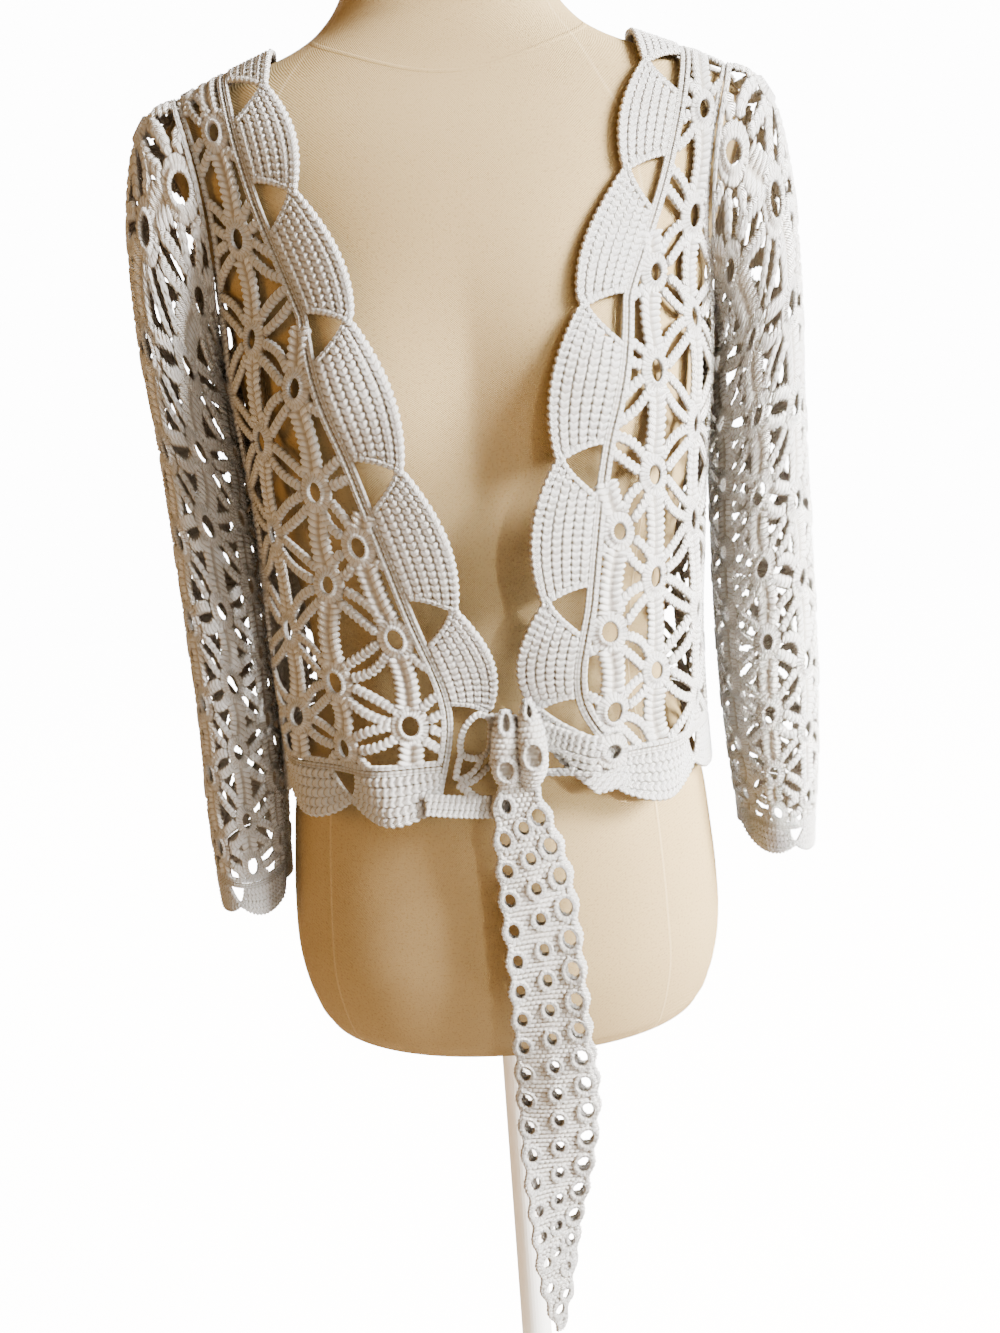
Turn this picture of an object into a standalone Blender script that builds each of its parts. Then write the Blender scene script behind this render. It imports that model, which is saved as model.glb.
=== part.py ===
"""A crochet cardigan in openwork cotton, tied at the front waist, on a limbless dress form.

Metres, +Z up. The wearer's front faces -Y, so the garment's right side is at -X.
Each panel is drawn flat, like a sewing pattern, and then laid on the surface that it hangs on.
"""
import math

import bpy
import bmesh
import numpy as np
from mathutils.geometry import delaunay_2d_cdt

for old in list(bpy.data.objects):
    bpy.data.objects.remove(old, do_unlink=True)

MM = 0.001

# Crochet cloth
WALL = 2.2 * MM
RIB = 1.3 * MM
SEAM_GAP = 0.4 * MM
CLEAR = 2.8 * MM
CLEAR_ABOVE = 3.0 * MM
EDGE_STEP = 17 * MM

# Body of the garment, flat: s runs round it from the centre front, t up from the hem seam
HEM_HEIGHT = 0.715
HEM_SEAM = 10 * MM
ARMPIT_HEIGHT = 0.990
REFERENCE_HEIGHT = 0.850
SHOULDER_SPREAD = 0.12
GRID_STEP = 5 * MM
FLAT_LOW = -0.050
FLAT_HIGH = 0.520

# Openwork: rings in staggered columns, with two triangular gaps beside each ring
COLUMN_PITCH = 42 * MM
RING_PITCH = 58 * MM
GAP = ((6.5, 11.5), (32.0, 29.0), (6.5, 46.5))
SECOND_GAP = ((10.0, 0.0), (35.5, -17.5), (35.5, 17.5))
GAP_MARGIN = 5.5 * MM
RING_MARGIN = 5 * MM

# Scalloped borders
BORDER_WIDTH = 30 * MM
SCALLOP = 10 * MM
HEM_DROP = 12 * MM
HEM_SCALLOP = 14 * MM
HEM_PITCH = 66 * MM
BORDER_GAP_ACROSS = (8 * MM, 26 * MM)
BORDER_GAP_ALONG = (-6 * MM, 18 * MM)

# Sleeves, flat: s runs round them from the outer line, t down from the armhole
SLEEVE_GIRTH = 0.276
SLEEVE_COLUMNS = 6
SLEEVE_LENGTH = 0.425
CUFF_DROP = 18 * MM
CUFF_SCALLOP = 10 * MM
CUFF_SCALLOPS = 2
SEAM_BLEND = 0.070
SLEEVE_EASE = 0.8 * MM

# Tie
TIE_WALL = 2.4 * MM
EYELET = (4.0 * MM, 5.5 * MM)
EYELET_PITCH = 21 * MM
KNOT_PLACE = (0.0110, -0.1158, 0.738)
KNOT_HALF = (0.0160, 0.0110, 0.024)

# Stand
POLE_RADIUS = 0.0125
BASE_RADIUS = 0.130
BASE_THICK = 0.012
NECK_TOP = 1.245
CAP_HEIGHT = 0.008
REST_GAP = 0.3 * MM

SQUARENESS = 2.25


def table(columns, rows):
    """A table as one array for each named column."""
    return {name: np.array([row[i] for row in rows], float) for i, name in enumerate(columns)}


FORM = table(
    ("height", "half_width", "front", "back"),
    (
        (0.503, 0.126, 0.080, 0.085),
        (0.505, 0.136, 0.088, 0.094),
        (0.512, 0.144, 0.095, 0.102),
        (0.526, 0.150, 0.100, 0.107),
        (0.545, 0.1545, 0.1035, 0.111),
        (0.565, 0.1565, 0.106, 0.113),
        (0.600, 0.1555, 0.105, 0.114),
        (0.640, 0.1515, 0.103, 0.111),
        (0.680, 0.146, 0.100, 0.104),
        (0.715, 0.136, 0.096, 0.094),
        (0.745, 0.126, 0.092, 0.086),
        (0.770, 0.122, 0.090, 0.082),
        (0.800, 0.123, 0.092, 0.084),
        (0.835, 0.128, 0.096, 0.090),
        (0.875, 0.136, 0.100, 0.098),
        (0.915, 0.144, 0.103, 0.104),
        (0.955, 0.149, 0.105, 0.108),
        (0.990, 0.151, 0.105, 0.110),
        (1.020, 0.155, 0.102, 0.110),
        (1.050, 0.164, 0.096, 0.107),
        (1.075, 0.173, 0.088, 0.102),
        (1.095, 0.1795, 0.079, 0.095),
        (1.110, 0.180, 0.071, 0.087),
        (1.120, 0.169, 0.067, 0.081),
        (1.128, 0.150, 0.0645, 0.076),
        (1.136, 0.127, 0.063, 0.072),
        (1.143, 0.106, 0.062, 0.068),
        (1.151, 0.089, 0.061, 0.064),
        (1.160, 0.077, 0.061, 0.060),
        (1.172, 0.067, 0.060, 0.056),
        (1.186, 0.061, 0.059, 0.054),
        (1.205, 0.0585, 0.0585, 0.052),
        (1.230, 0.0575, 0.058, 0.051),
        (1.245, 0.0575, 0.058, 0.051),
    ),
)
BUST_ANGLE = math.radians(34)
BUST_SPREAD = math.radians(23)
BUST_HEIGHT = 0.935
BUST_REACH = 0.058
BUST_DEPTH = 0.020

# Where the cloth hangs clear of the form
CLOTH = table(
    ("height", "half_width", "front", "back"),
    (
        (0.660, 0.149, 0.117, 0.121),
        (0.715, 0.147, 0.117, 0.114),
        (0.765, 0.145, 0.119, 0.110),
        (0.815, 0.1445, 0.123, 0.108),
        (0.865, 0.146, 0.126, 0.110),
        (0.915, 0.149, 0.126, 0.112),
        (0.965, 0.152, 0.118, 0.113),
        (1.000, 0.150, 0.102, 0.108),
        (1.040, 0.130, 0.080, 0.090),
    ),
)
CLOTH_TOP = 1.050
CLOTH_BLEND = 0.080
SOFT_JOIN = 0.005
KNOT_PULL = 0.014
KNOT_REACH = 0.060
KNOT_ANGLE = math.radians(20)

# Soft folds of the body: degrees round from the centre front, and their lean to the knot
FOLDS = table(
    ("angle", "depth", "width", "lean"),
    (
        (-148, 0.0045, 13, 0),
        (-112, 0.0035, 12, 0),
        (-62, 0.0060, 9, 26),
        (-36, 0.0060, 8, 20),
        (30, 0.0060, 8, -18),
        (52, 0.0065, 9, -24),
        (108, 0.0035, 12, 0),
        (140, 0.0050, 13, 0),
        (176, 0.0045, 14, 0),
    ),
)
FOLD_TOP = 0.900
FOLD_FULL = 0.740

# Front edges, at the valleys of their scallops, from the lower corner to the shoulder
FRONT_EDGE = table(
    ("t", "right", "left"),
    (
        (-0.012, -0.013, 0.062),
        (0.042, -0.002, 0.029),
        (0.110, -0.0170, 0.0335),
        (0.190, -0.0400, 0.0440),
        (0.272, -0.0660, 0.0660),
        (0.347, -0.0905, 0.0940),
        (0.411, -0.1010, 0.1070),
        (0.480, -0.1030, 0.1050),
    ),
)
# Back neck, from the centre back to the shoulder
BACK_NECK = table(
    ("from_centre", "t"),
    ((0.0, 0.430), (0.030, 0.432), (0.060, 0.446), (0.083, 0.467), (0.094, 0.492)),
)
BACK_NECK_SCALLOPS = 3

# Armhole, by its turn from the shoulder to the armpit: distance in from the side seam
ARMHOLE = table(
    ("turn", "from_side", "t"),
    (
        (0, 0.032, 0.443),
        (32, 0.047, 0.408),
        (65, 0.058, 0.365),
        (100, 0.056, 0.322),
        (140, 0.032, 0.283),
        (180, 0.0, 0.265),
    ),
)

SLEEVE_COLUMN_NAMES = ("t", "outer_x", "outer_z", "inner_x", "inner_z", "centre_y", "half_depth")
LEFT_SLEEVE = table(
    SLEEVE_COLUMN_NAMES,
    (
        (0.000, 0.1690, 1.1250, 0.160, 0.982, 0.000, 0.056),
        (0.012, 0.1805, 1.1225, 0.160, 0.975, 0.000, 0.057),
        (0.026, 0.1910, 1.1150, 0.160, 0.967, 0.000, 0.057),
        (0.042, 0.1980, 1.1000, 0.160, 0.957, 0.000, 0.058),
        (0.060, 0.2030, 1.0750, 0.160, 0.945, 0.000, 0.058),
        (0.098, 0.2090, 1.020, 0.160, 0.915, -0.002, 0.057),
        (0.165, 0.2130, 0.930, 0.161, 0.862, -0.004, 0.055),
        (0.257, 0.2200, 0.820, 0.163, 0.782, -0.005, 0.053),
        (0.323, 0.2240, 0.747, 0.167, 0.722, -0.005, 0.052),
        (0.394, 0.2240, 0.678, 0.174, 0.665, -0.005, 0.052),
        (0.443, 0.2220, 0.634, 0.179, 0.630, -0.005, 0.050),
        (0.463, 0.2220, 0.616, 0.180, 0.612, -0.005, 0.050),
    ),
)
RIGHT_SLEEVE = table(
    SLEEVE_COLUMN_NAMES,
    (
        (0.000, 0.1690, 1.1250, 0.160, 0.982, 0.000, 0.056),
        (0.012, 0.1805, 1.1225, 0.160, 0.975, 0.000, 0.057),
        (0.026, 0.1910, 1.1150, 0.160, 0.967, 0.000, 0.057),
        (0.042, 0.1970, 1.1020, 0.159, 0.957, 0.000, 0.058),
        (0.060, 0.2020, 1.0780, 0.158, 0.945, -0.001, 0.058),
        (0.098, 0.2060, 1.020, 0.157, 0.915, -0.004, 0.057),
        (0.165, 0.2020, 0.930, 0.156, 0.862, -0.008, 0.055),
        (0.257, 0.2000, 0.820, 0.155, 0.780, -0.012, 0.053),
        (0.323, 0.2000, 0.747, 0.156, 0.720, -0.013, 0.052),
        (0.394, 0.2030, 0.676, 0.158, 0.656, -0.012, 0.052),
        (0.443, 0.2030, 0.621, 0.161, 0.611, -0.010, 0.050),
        (0.463, 0.2020, 0.602, 0.162, 0.592, -0.010, 0.050),
    ),
)

TAIL = table(
    ("z", "x", "half_width"),
    (
        (0.7130, 0.0110, 0.0125),
        (0.700, 0.0120, 0.0160),
        (0.647, 0.0186, 0.0235),
        (0.590, 0.0222, 0.0250),
        (0.533, 0.0236, 0.0255),
        (0.464, 0.0248, 0.0265),
        (0.409, 0.0208, 0.0220),
        (0.368, 0.0174, 0.0165),
        (0.340, 0.0172, 0.0130),
        (0.304, 0.0170, 0.0030),
    ),
)
FRONT_TAIL = {"y": -0.1185, "top": 0.7147, "shift": (0.0, 0.0)}
BACK_TAIL = {"y": -0.1138, "top": 0.7141, "shift": (0.007, 0.030)}
# Flat corners of the short bands from the front corners to the knot, and their eyelets
BANDS = {
    "right": (((-0.047, 0.000), (-0.0060, 0.012), (-0.0060, 0.034), (-0.036, 0.024)), (-0.026, 0.017)),
    "left": (((0.0325, 0.012), (0.062, -0.004), (0.073, 0.018), (0.0325, 0.034)), (0.048, 0.015)),
}
BAND_BASE = WALL + RIB + 1.6 * MM


def eased(knots, values, at):
    """Reads a table between its rows along a smooth curve."""
    slopes = np.gradient(values, knots)
    i = np.clip(np.searchsorted(knots, at) - 1, 0, len(knots) - 2)
    step = knots[i + 1] - knots[i]
    f = np.clip((at - knots[i]) / step, 0.0, 1.0)
    rise = values[i] * (1 + 2 * f) * (1 - f) ** 2 + values[i + 1] * f * f * (3 - 2 * f)
    return rise + step * (slopes[i] * f * (1 - f) ** 2 - slopes[i + 1] * f * f * (1 - f))


def section_radius(angle, half_width, depth):
    """Distance from the axis to an oval with flattened sides. Angle 0 is the centre front."""
    across = np.abs(np.sin(angle)) / half_width
    along = np.abs(np.cos(angle)) / depth
    return (across**SQUARENESS + along**SQUARENESS) ** (-1 / SQUARENESS)


def section_depth(sections, angle, height):
    front = eased(sections["height"], sections["front"], height)
    back = eased(sections["height"], sections["back"], height)
    return np.where(np.cos(angle) > 0, front, back)


def wrapped(angle):
    return (angle + math.pi) % (2 * math.pi) - math.pi


def form_radius(angle, height):
    half_width = eased(FORM["height"], FORM["half_width"], height)
    plain = section_radius(angle, half_width, section_depth(FORM, angle, height))
    across = (np.abs(wrapped(angle)) - BUST_ANGLE) / BUST_SPREAD
    up = (height - BUST_HEIGHT) / BUST_REACH
    return plain + BUST_DEPTH * np.exp(-(across**2) - up**2)


def fold_relief(angle, height):
    """Folds that grow from the bust to the hem, those in front leaning to the knot."""
    down = np.clip((FOLD_TOP - height) / (FOLD_TOP - FOLD_FULL), 0.0, 1.3)
    relief = 0.0
    for degrees, depth, width, lean in zip(*FOLDS.values()):
        middle = math.radians(degrees) + math.radians(lean) * (down - 1)
        across = wrapped(angle - middle) / math.radians(width)
        relief = relief + depth * down * np.exp(-(across**2))
    return relief


def cloth_radius(angle, height):
    """The cloth's inside: it lies on the form, and hangs clear where the form draws in."""
    half_width = eased(CLOTH["height"], CLOTH["half_width"], height)
    hang = section_radius(angle, half_width, section_depth(CLOTH, angle, height))
    near_knot = (wrapped(angle) / KNOT_ANGLE) ** 2
    near_knot = near_knot + ((height - KNOT_PLACE[2]) / KNOT_REACH) ** 2
    hang = hang - KNOT_PULL * np.exp(-near_knot)
    form = np.maximum(form_radius(angle, height), form_radius(angle, height - CLEAR_ABOVE)) + CLEAR
    joined = (hang + form + np.sqrt((hang - form) ** 2 + SOFT_JOIN**2)) / 2
    blend = np.clip((CLOTH_TOP - height) / CLOTH_BLEND, 0.0, 1.0)
    return form + (joined - form) * blend + fold_relief(angle, height)


def around(radius, angle, height):
    height = height + 0 * radius
    return np.stack([radius * np.sin(angle), -radius * np.cos(angle), height], axis=-1)


class Surface:
    """A surface known at a grid of flat places, with its outward direction at each."""

    def __init__(self, s, t, points, flip=False):
        self.s, self.t, self.points = s, t, points
        normal = np.cross(np.gradient(points, axis=0), np.gradient(points, axis=1))
        normal /= np.linalg.norm(normal, axis=2, keepdims=True)
        self.normals = -normal if flip else normal

    def place(self, s, t, lift):
        """The points at flat places s and t, lifted outward from the inside of the cloth."""
        a = np.clip((s - self.s[0]) / (self.s[1] - self.s[0]), 0, len(self.s) - 1.001)
        b = np.clip((t - self.t[0]) / (self.t[1] - self.t[0]), 0, len(self.t) - 1.001)
        i, j = a.astype(int), b.astype(int)
        a, b = (a - i)[:, None], (b - j)[:, None]

        def blend(grid):
            low = grid[i, j] * (1 - a) + grid[i + 1, j] * a
            high = grid[i, j + 1] * (1 - a) + grid[i + 1, j + 1] * a
            return low * (1 - b) + high * b

        return blend(self.points) + blend(self.normals) * np.asarray(lift).reshape(-1, 1)


def solve(function, low, high):
    """Finds by halving where a rising function passes zero, for arrays of bounds."""
    for _ in range(36):
        middle = (low + high) / 2
        above = function(middle) > 0
        high = np.where(above, middle, high)
        low = np.where(above, low, middle)
    return (low + high) / 2


REFERENCE_TURN = np.linspace(-math.pi / 2, 3 * math.pi / 2, 1441)
REFERENCE_RING = around(
    cloth_radius(REFERENCE_TURN, REFERENCE_HEIGHT), REFERENCE_TURN, REFERENCE_HEIGHT
)
REFERENCE_LENGTH = np.concatenate(
    [[0], np.cumsum(np.linalg.norm(np.diff(REFERENCE_RING, axis=0), axis=1))]
)
REFERENCE_LENGTH -= np.interp(0, REFERENCE_TURN, REFERENCE_LENGTH)
SIDE_RIGHT, SIDE_LEFT = np.interp((-math.pi / 2, math.pi / 2), REFERENCE_TURN, REFERENCE_LENGTH)
CENTRE_BACK = np.interp(math.pi, REFERENCE_TURN, REFERENCE_LENGTH)
SIDE_RIGHT_BACK = REFERENCE_LENGTH[-1]


def body_surface(back):
    """Lays the flat front or back on the body, and finds where it meets the shoulder line.

    Columns are upright to the armpit. Above it they spread a little and run to the shoulder.
    """
    first, last = (SIDE_LEFT, SIDE_RIGHT_BACK) if back else (SIDE_RIGHT, SIDE_LEFT)
    s = np.linspace(first, last, 89)
    angle = np.interp(s, REFERENCE_LENGTH, REFERENCE_TURN)
    low = np.linspace(0.660, ARMPIT_HEIGHT, 67)[:, None] + 0 * angle
    lower = around(cloth_radius(angle, low), angle + 0 * low, low)
    side = np.where(lower[-1, :, 0] < 0, -1.0, 1.0)
    half = np.abs(lower[-1, :, 0])

    def turned(bend):
        return math.pi - side * bend if back else side * bend

    quarter = np.full(len(s), math.pi / 2)
    ridge_half = half * (1 + SHOULDER_SPREAD)
    ridge = solve(
        lambda z: ridge_half - cloth_radius(turned(quarter), z),
        np.full(len(s), 1.112),
        np.full(len(s), 1.165),
    )
    share = 1 - (1 - np.linspace(0, 1, 81)[1:, None]) ** 2
    height = ARMPIT_HEIGHT + (ridge - ARMPIT_HEIGHT) * share
    aim = half * (1 + SHOULDER_SPREAD * share)
    bend = solve(
        lambda b: cloth_radius(turned(b), height) * np.sin(b) - aim,
        0 * height,
        0 * height + math.pi / 2,
    )
    upper = around(cloth_radius(turned(bend), height), turned(bend), height)
    rows = np.concatenate([lower, upper])
    ahead = rows[-1] - rows[-4]
    beyond = rows[-1] + FLAT_HIGH * ahead / np.linalg.norm(ahead, axis=1, keepdims=True)
    t = np.arange(FLAT_LOW, FLAT_HIGH, GRID_STEP)
    points = np.zeros((len(s), len(t), 3))
    top = np.zeros(len(s))
    for c in range(len(s)):
        line = np.concatenate([rows[:, c], beyond[None, c]])
        run = np.concatenate([[0], np.cumsum(np.linalg.norm(np.diff(line, axis=0), axis=1))])
        run -= np.interp(HEM_HEIGHT, rows[:, c, 2], run[:-1])
        top[c] = run[-2]
        for k in range(3):
            points[c, :, k] = np.interp(t, run, line[:, k])
    surface = Surface(s, t, points)
    surface.top = lambda at: np.interp(at, s, top)
    return surface


def stepped(line, step=EDGE_STEP):
    """Adds points along a flat line so that none are further apart than the step."""
    out = []
    for a, b in zip(line[:-1], line[1:]):
        count = max(1, math.ceil(math.dist(a, b) / step))
        for k in range(count):
            out.append((a[0] + (b[0] - a[0]) * k / count, a[1] + (b[1] - a[1]) * k / count))
    return out + [tuple(line[-1])]


def inside(points, outline):
    """Which flat points lie within a closed outline."""
    x, y = points[:, 0, None], points[:, 1, None]
    a = np.asarray(outline)
    b = np.roll(a, -1, axis=0)
    crosses = (a[:, 1] > y) != (b[:, 1] > y)
    run = np.where(b[:, 1] == a[:, 1], 1.0, b[:, 1] - a[:, 1])
    at = a[:, 0] + (y - a[:, 1]) / run * (b[:, 0] - a[:, 0])
    return (crosses & (x < at)).sum(axis=1) % 2 == 1


def edge_distance(points, outline):
    """Distance of each flat point from a closed outline."""
    a = np.asarray(outline)
    along = np.roll(a, -1, axis=0) - a
    to = points[:, None] - a[None]
    share = (to * along).sum(axis=2) / np.maximum((along**2).sum(axis=1), 1e-12)
    share = np.clip(share, 0, 1)[..., None]
    return np.linalg.norm(to - share * along, axis=2).min(axis=1)


def inset(outline, amount):
    """Moves a closed flat outline inwards by the same amount all round."""
    p = np.asarray(outline)
    ahead = np.roll(p, -1, axis=0) - p
    ahead /= np.linalg.norm(ahead, axis=1, keepdims=True)
    left = np.stack([-ahead[:, 1], ahead[:, 0]], axis=1)
    before = np.roll(left, 1, axis=0)
    both = left + before
    both /= np.maximum((both * left).sum(axis=1, keepdims=True), 0.5)
    x, y = p[:, 0], p[:, 1]
    turns = np.sum(x * np.roll(y, -1) - np.roll(x, -1) * y) > 0
    return p + both * (amount if turns else -amount)


def add_object(name, vertices, faces, material, smooth=False):
    mesh = bpy.data.meshes.new(name)
    mesh.from_pydata([tuple(v) for v in vertices], [], faces)
    mesh.materials.append(material)
    if smooth:
        mesh.shade_smooth()
    obj = bpy.data.objects.new(name, mesh)
    COLLECTION.objects.link(obj)
    return obj


def cloth_wall(name, surface, outline, holes, points, raised, material, wall=WALL, base=0.0):
    """A closed cloth wall cut to a flat outline, with holes and raised places in its outside.

    base is how far its inside lies out from the surface.
    """
    outline = inset(outline, SEAM_GAP / 2)
    flat = [tuple(p) for p in outline]
    edges = [(i, (i + 1) % len(flat)) for i in range(len(flat))]
    for hole in holes:
        start = len(flat)
        flat += [tuple(p) for p in hole]
        edges += [(start + i, start + (i + 1) % len(hole)) for i in range(len(hole))]
    flat += [tuple(p) for p in points]
    lifts = [base + wall] * (len(flat) - len(points)) + [base + wall + r for r in raised]
    verts, _, faces, _, _, _ = delaunay_2d_cdt(flat, edges, [], 0, 1e-7)
    if len(verts) != len(flat):
        raise SystemExit(f"{name}: flat lines cross, {len(flat)} points became {len(verts)}")
    flat = np.array(verts)
    faces = np.array(faces)
    middle = flat[faces].mean(axis=1)
    keep = inside(middle, outline)
    for hole in holes:
        keep &= ~inside(middle, hole)
    faces = faces[keep]
    one, two, three = (flat[faces[:, k]] for k in range(3))
    area = np.cross(two - one, three - one)
    faces[area < 0] = faces[area < 0][:, ::-1]
    inner = surface.place(flat[:, 0], flat[:, 1], np.full(len(flat), base))
    outer = surface.place(flat[:, 0], flat[:, 1], lifts)
    count = len(flat)
    sides = {(a, b) for f in faces for a, b in zip(f, np.roll(f, -1))}
    rim = [(a, b) for a, b in sorted(sides) if (b, a) not in sides]
    outward = [tuple(int(v) + count for v in f) for f in faces]
    inward = [tuple(int(v) for v in f[::-1]) for f in faces]
    walls = [(int(a), int(b), int(b) + count, int(a) + count) for a, b in rim]
    obj = add_object(name, np.concatenate([inner, outer]), outward + inward + walls, material)
    clean(obj)
    return obj


def clean(obj):
    """Drops unused points and turns all faces outwards."""
    mesh = bmesh.new()
    mesh.from_mesh(obj.data)
    bmesh.ops.delete(mesh, geom=[v for v in mesh.verts if not v.link_faces], context="VERTS")
    bmesh.ops.recalc_face_normals(mesh, faces=mesh.faces[:])
    mesh.to_mesh(obj.data)
    mesh.free()


def openwork(outline, start, pitch, shift, gaps=(GAP, SECOND_GAP)):
    """Gaps, and the raised rings between them, for a flat outline.

    start is the place of one ring, and pitch its distance to the next column and row.
    """
    p = np.asarray(outline)
    low = np.floor((p.min(axis=0) - start) / pitch).astype(int) - 1
    high = np.ceil((p.max(axis=0) - start) / pitch).astype(int) + 1
    shapes = [np.array(gap) / (COLUMN_PITCH / MM, RING_PITCH / MM) for gap in gaps]
    holes, rings = [], []
    for i in range(low[0], high[0]):
        for j in range(low[1], high[1]):
            ring = np.array(start) + np.array(pitch) * (i, j + 0.5 * ((i + shift) % 2))
            rings += [ring, ring + np.array(pitch) * (0, 0.5)]
            for shape in shapes:
                hole = ring + shape * pitch
                whole = inside(hole, outline) & (edge_distance(hole, outline) > GAP_MARGIN)
                if whole.all():
                    holes.append(hole)
    rings = np.array(rings)
    keep = inside(rings, outline) & (edge_distance(rings, outline) > RING_MARGIN)
    raised = np.where(np.arange(len(rings)) % 2 == 0, RIB, 0.6 * RIB)
    return holes, rings[keep], raised[keep]


def front_edge(column, t):
    return eased(FRONT_EDGE["t"], FRONT_EDGE[column], t)


def scallop(share):
    """Height of a scallop's outline, from valley to valley."""
    return np.sin(math.pi * share) ** 0.8


def gap_at(along, across, low_along, low_across, sign=1):
    """A three-cornered border gap, given along and across the border from a valley."""
    tip = (across[0] * 0.45 + across[1] * 0.55, along[1])
    corners = ((across[0], along[0]), (across[1], along[0]), tip)
    return [(low_across + c, low_along + sign * a) for c, a in corners]


def front_border_lines(side):
    """Seam line and scalloped edge of a front border, from its lower corner to the shoulder."""
    column = "right" if side < 0 else "left"
    knots = FRONT_EDGE["t"].copy()
    surface_top = FRONT.top(side * abs(FRONT_EDGE[column][-1]))
    knots[-1] = surface_top
    seam, edge, mid, gaps = [], [], [], []
    for i, (low, high) in enumerate(zip(knots[:-1], knots[1:])):
        for k in range(4):
            f = k / 4
            t = low + (high - low) * f
            if i == 0 and k == 1:
                t = HEM_SEAM
            s = float(front_edge(column, t))
            seam.append((s + side * BORDER_WIDTH, t))
            size = SCALLOP if 0 < i < len(knots) - 2 else 0.5 * SCALLOP
            edge.append((s - side * size * float(scallop(f)), t))
            if k % 2 == 0:
                mid.append((s + side * 2.5 * MM, t + 5 * MM))
                mid.append((s + side * 22.0 * MM, t + 5 * MM))
        if 0 < i < len(knots) - 2:
            gaps.append([
                (float(front_edge(column, t)) + side * c, t)
                for c, t in gap_at([-a for a in BORDER_GAP_ALONG], BORDER_GAP_ACROSS, high, 0.0)
            ])
    end = float(front_edge(column, knots[-1]))
    seam.append((end + side * BORDER_WIDTH, float(FRONT.top(end + side * BORDER_WIDTH))))
    edge.append((end, float(FRONT.top(end))))
    return seam, edge, mid, gaps


def armhole(side, back, degrees):
    """Flat places on one front or back armhole, by their turn from the shoulder to the armpit."""
    surface = BACK if back else FRONT
    seams = {
        (-1, False): SIDE_RIGHT,
        (1, False): SIDE_LEFT,
        (-1, True): SIDE_RIGHT_BACK,
        (1, True): SIDE_LEFT,
    }
    inward = side if back else -side
    s = seams[side, back] + inward * eased(ARMHOLE["turn"], ARMHOLE["from_side"], degrees)
    t = ARMHOLE["t"].copy()
    t[0] = surface.top(seams[side, back] + inward * ARMHOLE["from_side"][0])
    return s, eased(ARMHOLE["turn"], t, degrees)


def armhole_line(side, back):
    s, t = armhole(side, back, np.linspace(0, 180, 11))
    return list(zip(s.tolist(), t.tolist()))


def build_front(side, name, material):
    seam, edge, mid, gaps = front_border_lines(side)
    hem_start = [p for p in seam if p[1] > HEM_SEAM + 1 * MM]
    column = "right" if side < 0 else "left"
    corner = (float(front_edge(column, HEM_SEAM)) + side * BORDER_WIDTH, HEM_SEAM)
    side_seam = SIDE_RIGHT if side < 0 else SIDE_LEFT
    arm = armhole_line(side, False)
    shoulder = [(s, float(FRONT.top(s))) for s, _ in stepped([seam[-1], arm[0]])]
    outline = stepped([(side_seam, HEM_SEAM), corner])[:-1] + [corner] + hem_start[:-1]
    outline += shoulder[:-1] + arm[:-1]
    outline += stepped([arm[-1], (side_seam, HEM_SEAM)], 24 * MM)[:-1]
    start = np.array((-0.138, 0.327) if side < 0 else (0.150, 0.321))
    holes, rings, raised = openwork(outline, start, (COLUMN_PITCH, RING_PITCH), 0)
    cloth_wall(name, FRONT, outline, holes, rings, raised, material)
    border = seam + edge[::-1]
    keep = [p for p in mid if inside(np.array([p]), border)[0]]
    keep = [p for p in keep if edge_distance(np.array([p]), border)[0] > 1.8 * MM]
    keep = [p for p in keep if all(edge_distance(np.array([p]), g)[0] > 2 * MM for g in gaps)]
    border_name = name.replace("front", "front_border")
    cloth_wall(border_name, FRONT, border, gaps, keep, [RIB] * len(keep), material)
    hem = hem_border([side_seam, corner[0]] if side < 0 else [corner[0], side_seam])
    low_corner = (float(front_edge(column, -HEM_DROP)) + side * BORDER_WIDTH, -HEM_DROP)
    hem = hem_ends(hem, side, low_corner, column)
    build_hem(name.replace("front", "hem_border"), FRONT, hem, material)


def hem_border(ends):
    """Flat outline of a hem border between two places, with whole scallops."""
    count = max(1, round((ends[1] - ends[0]) / HEM_PITCH))
    pitch = (ends[1] - ends[0]) / count
    top = [(ends[0] + pitch * k / 4, HEM_SEAM) for k in range(4 * count + 1)]
    low = []
    for k in range(4 * count + 1):
        f = (k % 4) / 4
        low.append((ends[0] + pitch * k / 4, -HEM_DROP - HEM_SCALLOP * float(scallop(f))))
    return {"top": top, "low": low, "pitch": pitch, "count": count, "start": ends[0]}


def hem_ends(hem, side, low_corner, column):
    """Fits a hem border's front end to the slanting seam of the front border."""
    end = -1 if side < 0 else 0
    hem["low"][end] = (low_corner[0], low_corner[1])
    return hem


def build_hem(name, surface, hem, material):
    outline = hem["low"] + hem["top"][::-1]
    gaps, mid = [], []
    for k in range(hem["count"]):
        left = hem["start"] + hem["pitch"] * k
        gaps.append([(left + 9 * MM, -9 * MM), (left + 9 * MM, 5 * MM), (left + 31 * MM, -3 * MM)])
        for share in (0.3, 0.55, 0.8):
            mid.append((left + hem["pitch"] * share, -15 * MM))
    mid = [p for p in mid if all(edge_distance(np.array([p]), g)[0] > 2 * MM for g in gaps)]
    mid = [p for p in mid if inside(np.array([p]), outline)[0]]
    mid = [p for p in mid if edge_distance(np.array([p]), outline)[0] > 2 * MM]
    gaps = [g for g in gaps if (edge_distance(np.array(g), outline) > 2.5 * MM).all()]
    gaps = [g for g in gaps if inside(np.array(g), outline).all()]
    cloth_wall(name, surface, outline, gaps, mid, [RIB] * len(mid), material)


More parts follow.
